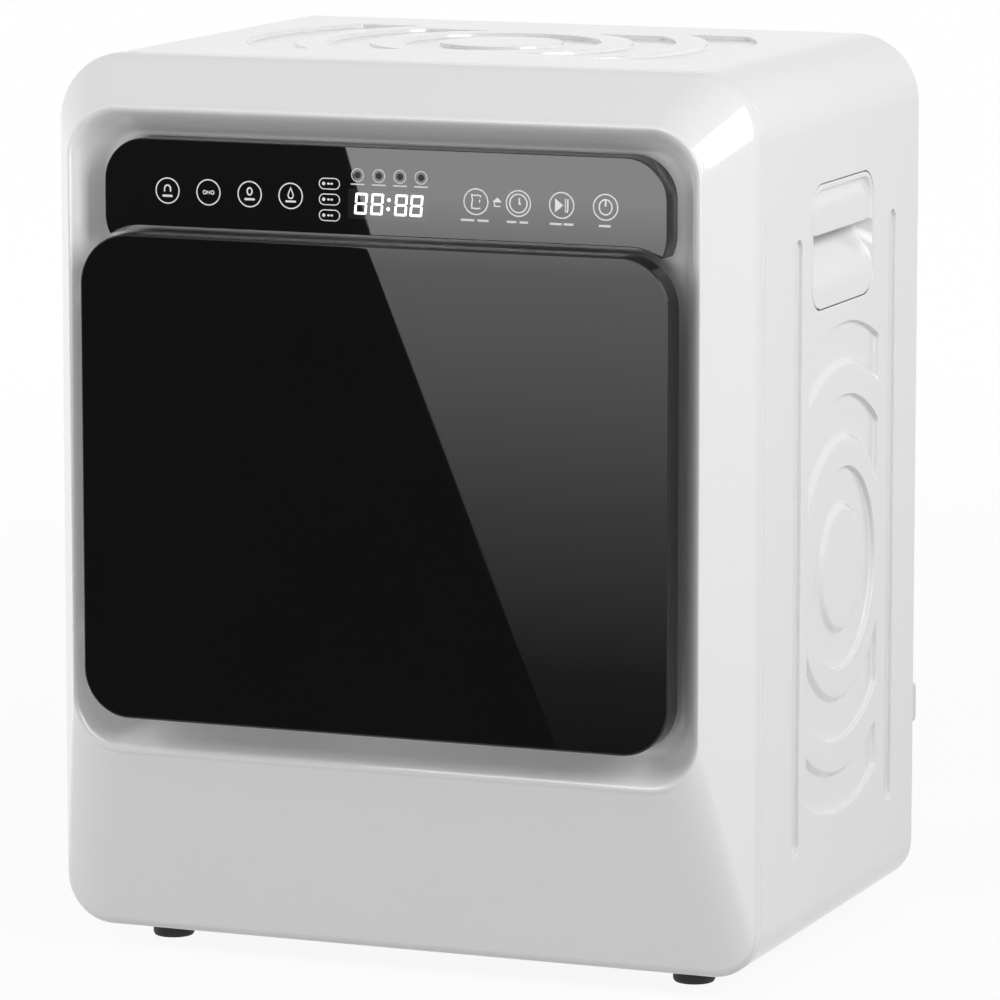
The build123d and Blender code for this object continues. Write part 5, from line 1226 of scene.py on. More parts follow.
@dataclass
class GripPocket:
    """Moulded hand grip: flush rim, a finger lip above and a bowl that runs in behind it."""

    shop: Workshop
    side: float = 1.0
    wall_x: float = 245.0
    middle_y: float = 17.0
    low: float = 436.5
    high: float = 518.5
    half: float = 64.0
    radius: float = 19.5
    rim: float = 3.0
    lip_edge: float = 485.5
    lip_groove: float = 3.0
    lip_sink: float = 0.5
    lip_back: float = 5.8
    ceiling: float = 507.0
    depth: float = 34.0
    bowl_low: float = 447.0
    bowl_high: float = 520.0
    rear_share: float = 0.78
    front_slope: float = 9.0
    rear_slope: float = 1.4
    swell: tuple[float, float] = (2.0, 15.0)
    groove_slope: float = 2.2
    face_start: float = 4.6
    face_slope: float = 6.5
    wall: float = 1.2

    def chord(self, z: float) -> float:
        """Return half the width of the rim's inner outline at a height.

        Args:
            z: Height.

        Returns:
            Half the width there.
        """
        radius, half = self.radius - self.rim, self.half - self.rim
        top, bottom = self.high - self.rim - radius, self.low + self.rim + radius
        over = max(z - top, bottom - z, 0.0)
        return half - radius + math.sqrt(max(radius * radius - over * over, 0.0))

    def inside(self, y: float, z: float) -> float:
        """Return how far a point lies inside the rim's inner outline.

        Args:
            y: Place along the wall, from the grip's middle.
            z: Height.

        Returns:
            The distance, less than zero outside.
        """
        radius, half = self.radius - self.rim, self.half - self.rim
        mid = (self.low + self.high) / 2
        qy = abs(y) - (half - radius)
        qz = abs(z - mid) - ((self.high - self.low) / 2 - self.rim - radius)
        outside = math.hypot(max(qy, 0.0), max(qz, 0.0)) + min(max(qy, qz), 0.0)
        return radius - outside

    def bowl(self, y: float, z: float) -> float:
        """Return the depth of the bowl at a point.

        Args:
            y: Place along the wall, from the grip's middle.
            z: Height.

        Returns:
            The depth behind the wall.
        """
        base = self.depth * smooth((z - self.bowl_low) / (self.bowl_high - self.bowl_low))
        edge = self.chord(z)
        front, rear = smooth((y + edge) / self.front_slope), smooth((edge - y) / self.rear_slope)
        start, length = self.swell
        swell = self.rear_share + (1 - self.rear_share) * smooth((edge - y - start) / length)
        return base * front * rear * swell

    def lip(self, y: float, z: float) -> float:
        """Return the depth of the lip's face: a sunk line inside the rim and a swelling middle."""
        inset = self.inside(y, z)
        sunk = self.lip_groove * smooth(inset / self.groove_slope)
        return sunk - (self.lip_groove - self.lip_sink) * smooth((inset - self.face_start) / self.face_slope)

    def grid(self) -> tuple[list[list[tuple[float, float, float]]], list[tuple[float, float]]]:
        """Return the rows of the inside, top to bottom, and the boundary's points in order.

        Returns:
            The rows of points, each with its place, height and depth, and the boundary line.
        """
        shares = [0.0, 0.006, 0.014, 0.024, 0.036, 0.05, 0.07, 0.095, 0.13, 0.18, 0.24, 0.3, 0.36, 0.42, 0.5]
        shares = shares + [1 - s for s in reversed(shares[:-1])]
        top, bottom = self.high - self.rim, self.low + self.rim
        rows: list[list[tuple[float, float, float]]] = []
        ends: list[float] = []

        def ys(z: float) -> list[float]:
            """Return the places of a row's points at a height."""
            return [self.chord(z) * (2 * s - 1) for s in shares]

        heights = [top - d for d in (0.0, 0.5, 1.1, 1.8, 2.6, 3.6, 5.0, 6.6, 8.4, 10.5, 13.0, 15.6, 18.6, 22.0, 26.0)]
        for z in heights:
            rows.append([(y, z, self.lip(y, z)) for y in ys(z)])
            ends.append(z)
        wide = ys(self.lip_edge)
        for z, share in ((self.lip_edge + 0.9, 0.0), (self.lip_edge + 0.3, 0.08), (self.lip_edge, 0.25),
                         (self.lip_edge, 0.8), (self.lip_edge + 0.8, 1.0), (self.lip_edge + 8.0, 1.0),
                         (self.ceiling - 1.5, 1.0), (self.ceiling, 1.3)):
            faces = [self.lip(y, self.lip_edge + 1.0) for y in wide]
            rows.append([(y, z, f + (self.lip_back - f) * share) for y, f in zip(wide, faces)])
            ends.append(self.lip_edge)
        for z in (self.ceiling - 2.0, self.ceiling - 6.0, 497.0, 491.0, self.lip_edge):
            rows.append([(y, z, max(self.bowl(y * 0.999, z), min(self.lip_back, self.bowl(y * 0.999, self.lip_edge))))
                         for y in wide])
            ends.append(self.lip_edge)
        lower = self.lip_edge - bottom
        for share in (0.07, 0.15, 0.24, 0.33, 0.42, 0.5, 0.58, 0.65, 0.71, 0.77, 0.82, 0.87, 0.92, 0.96, 1.0):
            z = self.lip_edge - lower * share
            rows.append([(y, z, self.bowl(y, z)) for y in ys(z)])
            ends.append(z)
        for row, end in zip(rows, ends):
            row[0], row[-1] = (-self.chord(end), end, 0.0), (self.chord(end), end, 0.0)
        rows[0] = [(y, top, 0.0) for y in ys(top)]
        rows[-1] = [(y, bottom, 0.0) for y in ys(bottom)]
        levels = [end for end, before in zip(ends[1:], ends) if abs(end - before) > 1e-6][:-1]
        line = [(p[0], p[1]) for p in rows[0]]
        line += [(self.chord(z), z) for z in levels]
        line += [(p[0], p[1]) for p in reversed(rows[-1])]
        line += [(-self.chord(z), z) for z in reversed(levels)]
        return rows, line

    def outward(self, y: float, z: float) -> tuple[float, float]:
        """Return the outline's outward direction at a point of it.

        Args:
            y: Place along the wall, from the grip's middle.
            z: Height.

        Returns:
            The direction's two parts, along the wall and up.
        """
        radius, half = self.radius - self.rim, self.half - self.rim
        mid, reach = (self.low + self.high) / 2, (self.high - self.low) / 2 - self.rim
        cy = max(min(y, half - radius), radius - half)
        cz = max(min(z, mid + reach - radius), mid - reach + radius)
        if abs(y - cy) < 1e-6:
            return 0.0, 1.0 if z > mid else -1.0
        if abs(z - cz) < 1e-6:
            return 1.0 if y > 0 else -1.0, 0.0
        length = math.hypot(y - cy, z - cz)
        return (y - cy) / length, (z - cz) / length

    def build(self) -> bpy.types.Object:
        """Make the grip.

        Returns:
            The grip, which stands for the plain one.
        """
        skin = Skin()
        rows, line = self.grid()

        def place(y: float, z: float, d: float) -> tuple[float, float, float]:
            """Put a point of the wall's plane in space."""
            return self.wall_x - d, y + self.middle_y, z

        made = [skin.row([place(*p) for p in row]) for row in rows]
        for a, b in zip(made, made[1:]):
            skin.bridge(b, a, closed=False)
        ways = [self.outward(y, z) for y, z in line]
        skin.rows([[place(y + oy * out, z + oz * out, d) for (y, z), (oy, oz) in zip(line, ways)]
                   for out, d in ((0.0, 0.0), (self.rim - 1.0, 0.0), (self.rim - 0.45, 0.1), (self.rim - 0.12, 0.4),
                                  (self.rim, 0.9), (self.rim, 4.5), (self.rim + 4.0, 4.6))])
        if self.side < 0:
            skin = skin.mirror()
        hand = "right" if self.side > 0 else "left"
        thing = skin.make("grip_pocket_" + hand, weld=0.01)
        solid_skin(thing, self.wall, even=False)
        even_normals(thing, 60.0)
        return self.shop.finish(thing, Finish.WHITE_GLOSS, Body.CABINET, Slot.WHITE_GLOSS, ["grip_" + hand])


@dataclass
class RearSheet:
    """Pressed steel back: beads that stiffen it, a ring and boss over the bearing, and three openings."""

    shop: Workshop
    y: float = 177.5
    thickness: float = 2.0
    outline: RoundedBox = RoundedBox(242.2, 15.8, 597.2, 42.2, 28.2)
    cut: float = 18.8
    rise: float = 2.2
    slope: tuple[float, float] = (3.2, 1.2)
    exhaust: Place = (95.0, 75.0, 49.3)
    gland: Place = (-195.0, 62.0, 9.0)
    window: tuple[float, float, float, float] = (-58.0, 58.0, 493.0, 537.0)
    middle: tuple[float, float] = (0.0, 345.0)
    ring: tuple[float, float] = (126.0, 110.0)
    boss: float = 58.0
    bead_width: float = 15.0
    upright: tuple[tuple[float, float, float], ...] = (
        (-176.0, 186.0, 520.0), (-148.0, 228.0, 478.0), (176.0, 186.0, 520.0), (148.0, 228.0, 478.0),
    )
    level: tuple[float, ...] = (150.0, 118.0, 86.0)
    level_ends: tuple[float, float] = (-160.0, -10.0)

    def place(self, flat: Loop, depth: float) -> Loop:
        """Put points of the sheet's plane in space."""
        return np.stack([flat[:, 0], np.full(len(flat), self.y - depth), flat[:, 1]], axis=1)

    def pressed(self, outline: Outline, shift: tuple[float, float] = (0.0, 0.0)) -> list[Loop]:
        """Return the sloping edge of one raised outline.

        Args:
            outline: The outline, drawn in by a distance.
            shift: Where the outline's own origin lies.

        Returns:
            The rows of points, from the flat sheet to the raised part.
        """
        shape = SunkShape(outline, -self.rise, *self.slope)
        return [self.place(outline(inset) + np.array(shift), depth) for inset, depth in shape.steps()]

    def build(self) -> bpy.types.Object:
        """Make the sheet.

        Returns:
            The sheet, which stands for the plain back.
        """
        skin = Skin()
        normal = (0.0, 1.0, 0.0)
        outer = skin.rows(self.pressed(ring_outline(self.ring[0], 1.0), self.middle))
        inner = skin.rows(self.pressed(ring_outline(self.ring[1], -1.0), self.middle))
        boss = skin.sink(self.pressed(ring_outline(self.boss, 1.0), self.middle), normal)
        skin.fill([outer[-1], inner[-1]], normal)
        skin.fill([inner[0], boss], normal)
        holes = [outer[0]]
        for x, low, high in self.upright:
            holes.append(skin.sink(self.pressed(groove_outline(x, low, high, self.bead_width)), normal))
        for z in self.level:
            lying = groove_outline(z, *self.level_ends, self.bead_width)
            holes.append(skin.sink(self.pressed(lambda inset, lying=lying: lying(inset)[:, ::-1]), normal))
        for x, z, radius in (self.exhaust, self.gland):
            holes.append(skin.row(circle(radius, self.y, x, z, 72)))
        holes.append(skin.row(rectangle(*self.window, self.y)))
        edge = []
        for inset, depth in ((0.0, 0.5), (0.12, 0.16), (0.5, 0.0), (1.5, 0.0)):
            loop = self.outline.loop(self.y - depth, out=-inset)
            loop[:, 2] = np.maximum(loop[:, 2], self.cut + inset)
            edge.append(loop)
        rows = skin.rows(edge)
        skin.fill([rows[-1], *holes], normal)
        skin.turn_to(normal)
        thing = skin.make("rear_sheet")
        solid_skin(thing, self.thickness)
        even_normals(thing, 50.0)
        return self.shop.finish(thing, Finish.COATED, Body.CABINET, Slot.COATED_STEEL, ["rear_panel"])


# ---------------------------------------------------------------- door and panel


@dataclass
class DoorPane:
    """Tinted front pane of the door with a polished, rounded edge."""

    shop: Workshop
    outline: RoundedBox = RoundedBox(204.5, 167.3, 487.5, 34.0, 32.0)
    y_front: float = -205.5
    y_back: float = -200.6
    edge: float = 1.4

    def build(self) -> bpy.types.Object:
        """Make the pane.

        Returns:
            The pane, which stands for the plain one.
        """
        skin = Skin()
        e = self.edge
        loops = [self.outline.loop(self.y_back)]
        for a in np.linspace(0.0, math.pi / 2, 6):
            loops.append(self.outline.loop(self.y_front + e * (1 - math.sin(a)), out=-e * (1 - math.cos(a))))
        rows = skin.rows(loops)
        skin.fill([rows[-1]], (0.0, -1.0, 0.0))
        skin.fill([rows[0]], (0.0, 1.0, 0.0))
        thing = skin.make("door_pane", weld=0.001)
        even_normals(thing, 60.0)
        return self.shop.finish(thing, Finish.TINT, Body.DOOR, Slot.DOOR_TINT, ["door_glass"])


class Pen:
    """Draws flat ink marks on the touch pane, in millimetres of X and Z."""

    def __init__(self, y: float) -> None:
        """Start an empty sheet at a depth."""
        self.y = y
        self.skin = Skin()

    def area(self, points: Sequence[tuple[float, float]]) -> None:
        """Fill one outline, given anticlockwise seen from the front."""
        ring = self.skin.row([(x, self.y, z) for x, z in points])
        self.skin.fill([ring], (0.0, -1.0, 0.0))

    def line(self, points: Sequence[tuple[float, float]], width: float, closed: bool = False) -> None:
        """Draw a line of a width through points.

        Args:
            points: Points of the line's middle.
            width: Its width.
            closed: Whether the ends are joined as well.
        """
        path = np.array(points, float)
        ahead = np.roll(path, -1, axis=0) - path
        behind = path - np.roll(path, 1, axis=0)
        if not closed:
            ahead[-1], behind[0] = behind[-1], ahead[0]
        along = unit(unit(ahead) + unit(behind))
        across = np.stack([-along[:, 1], along[:, 0]], axis=1)
        bend = np.maximum(np.abs((unit(ahead) * along).sum(axis=1)), 0.5)[:, None]
        left, right = path + across * width / 2 / bend, path - across * width / 2 / bend
        a = self.skin.row([(x, self.y, z) for x, z in left])
        b = self.skin.row([(x, self.y, z) for x, z in right])
        self.skin.bridge(b, a, closed)

    def ring(self, x: float, z: float, radius: float, width: float, tall: float = 1.0, count: int = 56) -> None:
        """Draw a circle or an upright oval."""
        turn = arc_points(radius, 0.0, 2 * math.pi, count + 1)[:-1]
        self.line([(x + px, z + tall * pz) for px, pz in turn], width, True)

    def disc(self, x: float, z: float, radius: float, count: int = 28) -> None:
        """Fill a circle."""
        self.area([(x + px, z + pz) for px, pz in arc_points(radius, 0.0, 2 * math.pi, count + 1)[:-1]])

    def bar(self, x0: float, x1: float, z: float, height: float) -> None:
        """Fill a short bar with round ends.

        Args:
            x0: Its left end.
            x1: Its right end.
            z: Height.
            height: Its height.
        """
        radius = height / 2
        right = [(x1 - radius + px, z + pz) for px, pz in arc_points(radius, -math.pi / 2, math.pi / 2, 9)]
        left = [(x0 + radius + px, z + pz) for px, pz in arc_points(radius, math.pi / 2, 1.5 * math.pi, 9)]
        self.area(right + left)

    def pill(self, x: float, z: float, width: float, height: float, stroke: float) -> None:
        """Draw the outline of a pill."""
        box = RoundedBox(width / 2, -height / 2, height / 2, height / 2 - 0.01, height / 2 - 0.01).loop(0.0, 1, 12)
        self.line([(x + p[0], z + p[2]) for p in box], stroke, True)

    def make(self, name: str) -> bpy.types.Object:
        """Write the marks as one object."""
        return self.skin.make(name)


@dataclass
class TouchPanelPrint:
    """White ink and status rings, both with a painted glow, the display window and the lit digits of the touch pane."""

    shop: Workshop
    y_pane: float = -185.5
    ink_rise: float = 0.06
    key_radius: float = 8.2
    key_stroke: float = 0.85
    key_z: float = 514.9
    left_keys: tuple[float, ...] = (-150.4, -121.3, -92.1, -63.2)
    right_keys: tuple[float, ...] = (65.6, 94.7, 124.2, 154.0)
    right_z: float = 516.4
    dashes: tuple[tuple[tuple[float, float], ...], ...] = (
        ((-10.6, -1.0), (0.9, 8.8)), ((-8.0, -1.2), (0.6, 6.8)), ((-8.2, 0.2), (1.2, 8.2)), ((-4.6, 3.8),),
    )
    pills: tuple[float, ...] = (523.9, 513.7, 503.4)
    pill_x: float = -36.0
    status: tuple[float, ...] = (-16.3, -1.5, 13.1, 27.8)
    status_z: float = 530.2
    status_radius: float = 4.1
    lens_radius: float = 2.2
    window: tuple[float, float, float, float] = (-23.0, 32.8, 501.8, 521.3)
    digit_left: tuple[float, ...] = (-18.9, -7.7, 8.9, 19.6)
    digit_low: float = 504.9
    digit_height: float = 14.0
    digit_width: float = 8.7
    digit_stroke: float = 1.6
    lean: float = 0.09
    colon_x: float = 4.6
    colon: tuple[float, float] = (509.1, 515.0)

    def left_marks(self, pen: Pen) -> None:
        """Draw the four programme keys on the left: arch, three marks, oval and drop, over short bars.

        Args:
            pen: The pen that draws.
        """
        z = self.key_z
        for x in self.left_keys:
            pen.ring(x, z, self.key_radius, self.key_stroke)
        a, b, c, d = self.left_keys
        bow = [(a - 2.1 * math.cos(t), z + 1.4 + 2.2 * math.sin(t)) for t in np.linspace(0.0, math.pi, 13)]
        pen.line([(a - 2.1, z - 0.6), *bow, (a + 2.1, z - 0.6)], 1.0)
        pen.bar(a - 3.7, a + 3.7, z - 3.4, 1.5)
        pen.ring(b - 2.7, z, 1.05, 0.6, 1.1, 20)
        pen.line([(b - 0.9, z + 1.1), (b - 0.9, z - 1.1)], 0.6)
        pen.line([(b - 0.9, z + 0.9), (b + 1.0, z - 0.9)], 0.55)
        pen.line([(b + 1.0, z + 1.1), (b + 1.0, z - 1.1)], 0.6)
        pen.ring(b + 2.9, z, 1.05, 0.6, 1.1, 20)
        pen.ring(c, z + 1.8, 1.7, 1.0, 1.35, 28)
        pen.bar(c - 3.8, c + 3.8, z - 3.3, 1.5)
        right = [(1.3, -1.2), (1.9, 0.4), (1.1, 2.6)]
        left = [(-x, rise) for x, rise in reversed(right)]
        drop = [(0.0, 5.2), *left, (0.0, -1.7), *right]
        pen.line([(d + x, z + rise) for x, rise in drop], 0.85, True)
        pen.bar(d - 3.8, d + 3.8, z - 3.6, 1.3)
        for z in self.pills:
            pen.pill(self.pill_x, z, 14.2, 6.9, 0.65)
            pen.disc(self.pill_x - 4.0, z, 1.15, 18)
            pen.bar(self.pill_x - 1.6, self.pill_x + 0.3, z, 1.4)
            pen.bar(self.pill_x + 0.7, self.pill_x + 2.5, z, 1.4)

    def right_marks(self, pen: Pen) -> None:
        """Draw the four keys on the right: garment, clock, start and pause, on and off; and the house.

        Args:
            pen: The pen that draws.
        """
        z, w = self.right_z, self.key_stroke
        for x in self.right_keys:
            pen.ring(x, z, self.key_radius, w)
        a, b, c, d = self.right_keys
        garment = [(a + 3.6, z + 3.2), (a + 1.8, z + 4.3), (a - 0.4, z + 4.0), (a - 2.9, z + 4.4), (a - 2.4, z + 1.2),
                   (a - 2.9, z - 1.8), (a - 2.8, z - 4.2), (a + 0.2, z - 4.5), (a + 3.2, z - 4.0)]
        pen.line(garment, 0.9)
        pen.line([(a + 2.8, z + 1.4), (a + 2.2, z - 0.6)], 0.8)
        pen.ring(b, z, 5.9, 0.9)
        pen.line([(b + 0.7, z + 3.5), (b + 0.6, z - 0.2), (b + 1.8, z - 0.5)], 1.1)
        pen.area([(c - 4.5, z - 4.6), (c + 1.2, z), (c - 4.5, z + 4.4)])
        pen.line([(c + 2.6, z + 4.3), (c + 2.6, z - 4.3)], 0.7)
        pen.line([(c + 4.2, z + 4.1), (c + 4.1, z - 3.2), (c + 3.4, z - 4.6)], 1.0)
        pen.ring(d, z, 4.3, 0.95, 1.12, 40)
        pen.line([(d, z + 4.4), (d, z + 0.6)], 1.25)
        h = (a + b) / 2
        pen.area([(h - 3.2, z + 0.2), (h + 3.4, z + 0.2), (h + 0.1, z + 3.3)])
        pen.line([(h - 1.8, z + 0.2), (h - 1.8, z - 2.4), (h + 2.2, z - 2.4)], 0.8)

    def captions(self, pen: Pen) -> None:
        """Draw plain dashes where captions stand.

        Args:
            pen: The pen that draws.
        """
        for x, spans in zip(self.right_keys, self.dashes):
            for low, high in spans:
                pen.bar(x + low, x + high, self.right_z - 12.0, 1.5)
        for x in self.status:
            pen.bar(x - 4.9, x + 4.9, self.status_z - 5.9, 0.9)

    def digit(self, pen: Pen, x: float) -> None:
        """Draw one figure eight of seven bars, leaning a little.

        Args:
            pen: The pen that draws.
            x: Its left end at the foot.
        """
        w, h, s = self.digit_width, self.digit_height, self.digit_stroke
        gap = 0.22

        def lean(px: float, pz: float) -> tuple[float, float]:
            """Lean a point of the upright figure."""
            return x + px + self.lean * pz, self.digit_low + pz

        for level, cut in ((h, -1.0), (h / 2, 0.0), (0.0, 1.0)):
            if cut:
                inner = level + cut * s
                points = [(gap + 0.3, level), (w - gap - 0.3, level), (w - s - gap, inner), (s + gap, inner)]
            else:
                points = [(s * 0.5 + gap, level), (s + gap, level - s * 0.48), (w - s - gap, level - s * 0.48),
                          (w - s * 0.5 - gap, level), (w - s - gap, level + s * 0.48), (s + gap, level + s * 0.48)]
            shaped = [lean(*p) for p in points]
            pen.area(shaped if cut >= 0 else shaped[::-1])
        for low, high in ((0.0, h / 2), (h / 2, h)):
            b, t = low + gap, high - gap
            outer_low = 0.3 if low == 0.0 else s * 0.42
            outer_high = 0.3 if high == h else s * 0.42
            left = [(0.0, b + outer_low), (s * 0.45 if low else 0.0, b), (s, b + (s if low == 0.0 else s * 0.45)),
                    (s, t - (s if high == h else s * 0.45)), (s * 0.45 if high != h else 0.0, t), (0.0, t - outer_high)]
            pen.area([lean(*p) for p in left])
            right = [(w - px, pz) for px, pz in reversed(left)]
            pen.area([lean(*p) for p in right])

    def back(self, pen: Pen) -> None:
        """Fill the dark window behind the digits."""
        left, right, low, high = self.window
        pen.area([(left, low), (right, low), (right, high), (left, high)])

    def lenses(self, pen: Pen) -> None:
        """Fill the dark middles of the status rings."""
        for x in self.status:
            pen.disc(x, self.status_z, self.lens_radius)

    def rings(self, pen: Pen) -> None:
        """Draw the status rings, and the dashes under them and under the keys.

        Args:
            pen: The pen that draws.
        """
        for x in self.status:
            pen.ring(x, self.status_z, self.status_radius, 0.6, 1.0, 40)
        self.captions(pen)

    def digits(self, pen: Pen) -> None:
        """Draw the four lit digits and the colon.

        Args:
            pen: The pen that draws.
        """
        for x in self.digit_left:
            self.digit(pen, x)
        for z in self.colon:
            pen.disc(self.colon_x + (z - self.digit_low) * self.lean, z, 1.25, 20)

    def build(self) -> None:
        """Make all marks, each kind as one sheet of ink at its own height."""
        for name, behind, draw, finish, slot in (
            ("display_window", 0.02, self.back, Finish.DISPLAY, Slot.DISPLAY),
            # The ink of the keys and of the status marks has a painted glow; only the digits are lit.
            ("panel_marks_left", 0.0, self.left_marks, Finish.PRINT, Slot.WHITE_SATIN),
            ("panel_marks_right", 0.0, self.right_marks, Finish.PRINT, Slot.WHITE_SATIN),
            ("panel_status_lenses", 0.0, self.lenses, Finish.LENS, Slot.BLACK_PLASTIC),
            ("panel_status_marks", 0.0, self.rings, Finish.DIM_PRINT, Slot.WHITE_SATIN),
            ("display_digits", -0.02, self.digits, Finish.DIGIT, Slot.WHITE_SATIN),
        ):
            pen = Pen(self.y_pane - self.ink_rise + behind)
            draw(pen)
            self.shop.finish(pen.make(name), finish, Body.CABINET, slot)


# ---------------------------------------------------------------- carried-over nodes


@dataclass
class CarriedNodes:
    """The part's own nodes: their finishes and, where they show, softened edges."""

    shop: Workshop
    finishes: dict[str, Finish] = field(default_factory=lambda: {
        "white_gloss": Finish.WHITE_GLOSS, "white_satin": Finish.WHITE_SATIN, "black_glass": Finish.BLACK_GLASS,
        "door_tint": Finish.TINT, "clear_glass": Finish.CLEAR, "black_plastic": Finish.BLACK_PLASTIC,
        "coated_steel": Finish.COATED, "zinc_steel": Finish.ZINC, "stainless": Finish.STAINLESS,
        "bright_steel": Finish.BRIGHT, "rubber": Finish.RUBBER, "grey_rubber": Finish.GREY_RUBBER,
        "felt": Finish.FELT, "bronze": Finish.BRONZE, "cast_alloy": Finish.CAST, "board_green": Finish.BOARD,
        "display_black": Finish.DISPLAY, "glide": Finish.GLIDE, "motor_grey": Finish.MOTOR,
        "ceramic": Finish.CERAMIC, "spacer_white": Finish.SPACER, "tray_grey": Finish.TRAY,
        "vane_grey": Finish.VANE,
    })
    softened: dict[str, float] = field(default_factory=lambda: {
        "wall_spacers": 0.8, "feet": 0.5, "door_frame": 0.6, "panel_carrier": 0.4, "panel_glass": 0.6,
        "door_liner": 0.8, "exhaust_spigot": 0.5,
    })

    def soften(self, thing: bpy.types.Object, width: float) -> None:
        """Round the edges of a node with modifiers, its mesh untouched.

        Args:
            thing: The node's object.
            width: Width of the rounded edge.
        """
        weld = thing.modifiers.new("weld", "WELD")
        weld.merge_threshold = 0.00001
        flat = thing.modifiers.new("flats", "DECIMATE")
        flat.decimate_type = "DISSOLVE"
        flat.angle_limit = math.radians(0.6)
        bevel = thing.modifiers.new("edges", "BEVEL")
        bevel.width = width * MM
        bevel.segments = 3
        bevel.limit_method = "ANGLE"
        bevel.angle_limit = math.radians(32.0)
        bevel.harden_normals = False
        weigh = thing.modifiers.new("normals", "WEIGHTED_NORMAL")
        weigh.keep_sharp = True

    def build(self) -> None:
        """Dress every node by its slot in the record."""
        for name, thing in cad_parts.items():
            held = thing.data.materials[0].name.split(".")[0] if thing.data.materials else ""
            finish = self.finishes.get(held, Finish.WHITE_SATIN)
            self.shop.wardrobe.dress(thing, finish)
            if name in self.softened and not thing.hide_render:
                self.soften(thing, self.softened[name])
            self.shop.done.append(name)
            LOG.info("dressed %s as %s", name, finish.name.lower())


# ---------------------------------------------------------------- studio


@dataclass(frozen=True)
class SoftLamp:
    """One soft rectangular lamp."""

    name: str
    place: Place
    size: tuple[float, float]
    power: float
    aim: Place = (0.0, 0.0, 0.3)
    glints: bool = True  # whether it shows in reflections

    def build(self) -> bpy.types.Object:
        """Hang the lamp.

        Returns:
            The lamp.
        """
        data = bpy.data.lights.new(self.name, "AREA")
        data.shape = "RECTANGLE"
        data.size, data.size_y = self.size
        data.energy = self.power
        thing = put(self.name, data)
        thing.location = self.place
        thing.visible_glossy = self.glints
        thing.rotation_mode = "QUATERNION"
        thing.rotation_quaternion = (Vector(self.aim) - Vector(self.place)).to_track_quat("-Z", "Y")
        return thing


@dataclass
class GlareScreen:
    """Upright screen before the glass: dark on one side of a slanted edge and glowing on the other.

    Only reflections see it. It gives the panes their dark half and their pale slanted sheen.
    """

    y: float = -0.9
    eye: Place = (1.5602, -3.9258, 0.9616)
    edge: tuple[tuple[float, float, float], ...] = (
        (-0.0243, -0.1855, 0.5468), (-0.0070, -0.1855, 0.4915), (-0.0015, -0.2055, 0.4866), (0.0591, -0.2055, 0.3392),
        (0.1004, -0.2055, 0.2379), (0.129, -0.2055, 0.170),
    )
    left: float = -1.0
    right: float = 0.45
    low: float = 0.003
    high: float = 0.66
    dark: float = 0.08
    glow: tuple[tuple[float, float], ...] = (
        (0.0, 0.02), (0.12, 0.05), (0.3, 0.22), (0.45, 0.42), (0.58, 0.58), (0.66, 1.0), (1.0, 1.0),
    )
    strength: float = 5.6

    def thrown(self, x: float, y: float, z: float) -> tuple[float, float]:
        """Return where the sight line mirrored at a point of a pane across Y meets the screen.

        Args:
            x: The point on the pane, to the right.
            y: The pane's plane.
            z: Height.

        Returns:
            The place on the screen, to the right and up.
        """
        mirror_y = 2 * y - self.eye[1]
        share = (mirror_y - self.y) / (mirror_y - y)
        return self.eye[0] + (x - self.eye[0]) * share, self.eye[2] + (z - self.eye[2]) * share

    def panel(self, name: str, corners: Sequence[tuple[float, float]], material: bpy.types.Material) -> None:
        """Make one part of the screen.

        Args:
            name: Name of the part.
            corners: Its corners on the screen, to the right and up.
            material: Its material.
        """
        mesh = bpy.data.meshes.new(name)
        mesh.from_pydata([(x, self.y, z) for x, z in corners], [], [tuple(range(len(corners)))])
        mesh.materials.append(material)
        thing = put(name, mesh)
        for ray in ("camera", "diffuse", "shadow", "transmission", "volume_scatter"):
            setattr(thing, "visible_" + ray, False)

    def material(self, name: str, glowing: bool) -> bpy.types.Material:
        """Return the material of one part.

        Args:
            name: Name of the part.
            glowing: Whether it is the pale part.

        Returns:
            The new material.
        """
        material = bpy.data.materials.new(name)
        tree = blank_tree(material)
        glow = node(tree, "Emission", {"Strength": self.strength if glowing else self.dark})
        node(tree, "OutputMaterial", {"Surface": glow.outputs[0]})
        if glowing:
            split = node(tree, "SeparateXYZ", {"Vector": node(tree, "TexCoord").outputs["Object"]})
            height = node(tree, "MapRange", {"Value": split.outputs["Z"], "From Max": self.high})
            ramp = node(tree, "ValToRGB", {"Fac": height.outputs["Result"]})
            ends = ramp.color_ramp.elements
            while len(ends) < len(self.glow):
                ends.new(0.5)
            for element, (place, value) in zip(ends, self.glow):
                element.position = place
                element.color = (value, value, value, 1.0)
            tree.links.new(ramp.outputs["Color"], glow.inputs["Color"])
        return material

    def build(self) -> None:
        """Set the screen up."""
        line = sorted({self.thrown(*p) for p in self.edge}, key=lambda p: p[1])
        (xa, za), (xb, zb) = line[-2:]
        line[-1:] = [(xb, zb), (xb + (self.high - zb) * (xb - xa) / (zb - za), self.high)]
        line = [(line[0][0], self.low)] + [p for p in line if p[1] > self.low + 0.001]
        self.panel("screen_dark", [(self.left, self.low), *line, (self.left, self.high)],
                   self.material("screen_dark", False))
        self.panel("screen_glow", [*reversed(line), (self.right, self.low), (self.right, self.high)],
                   self.material("screen_glow", True))


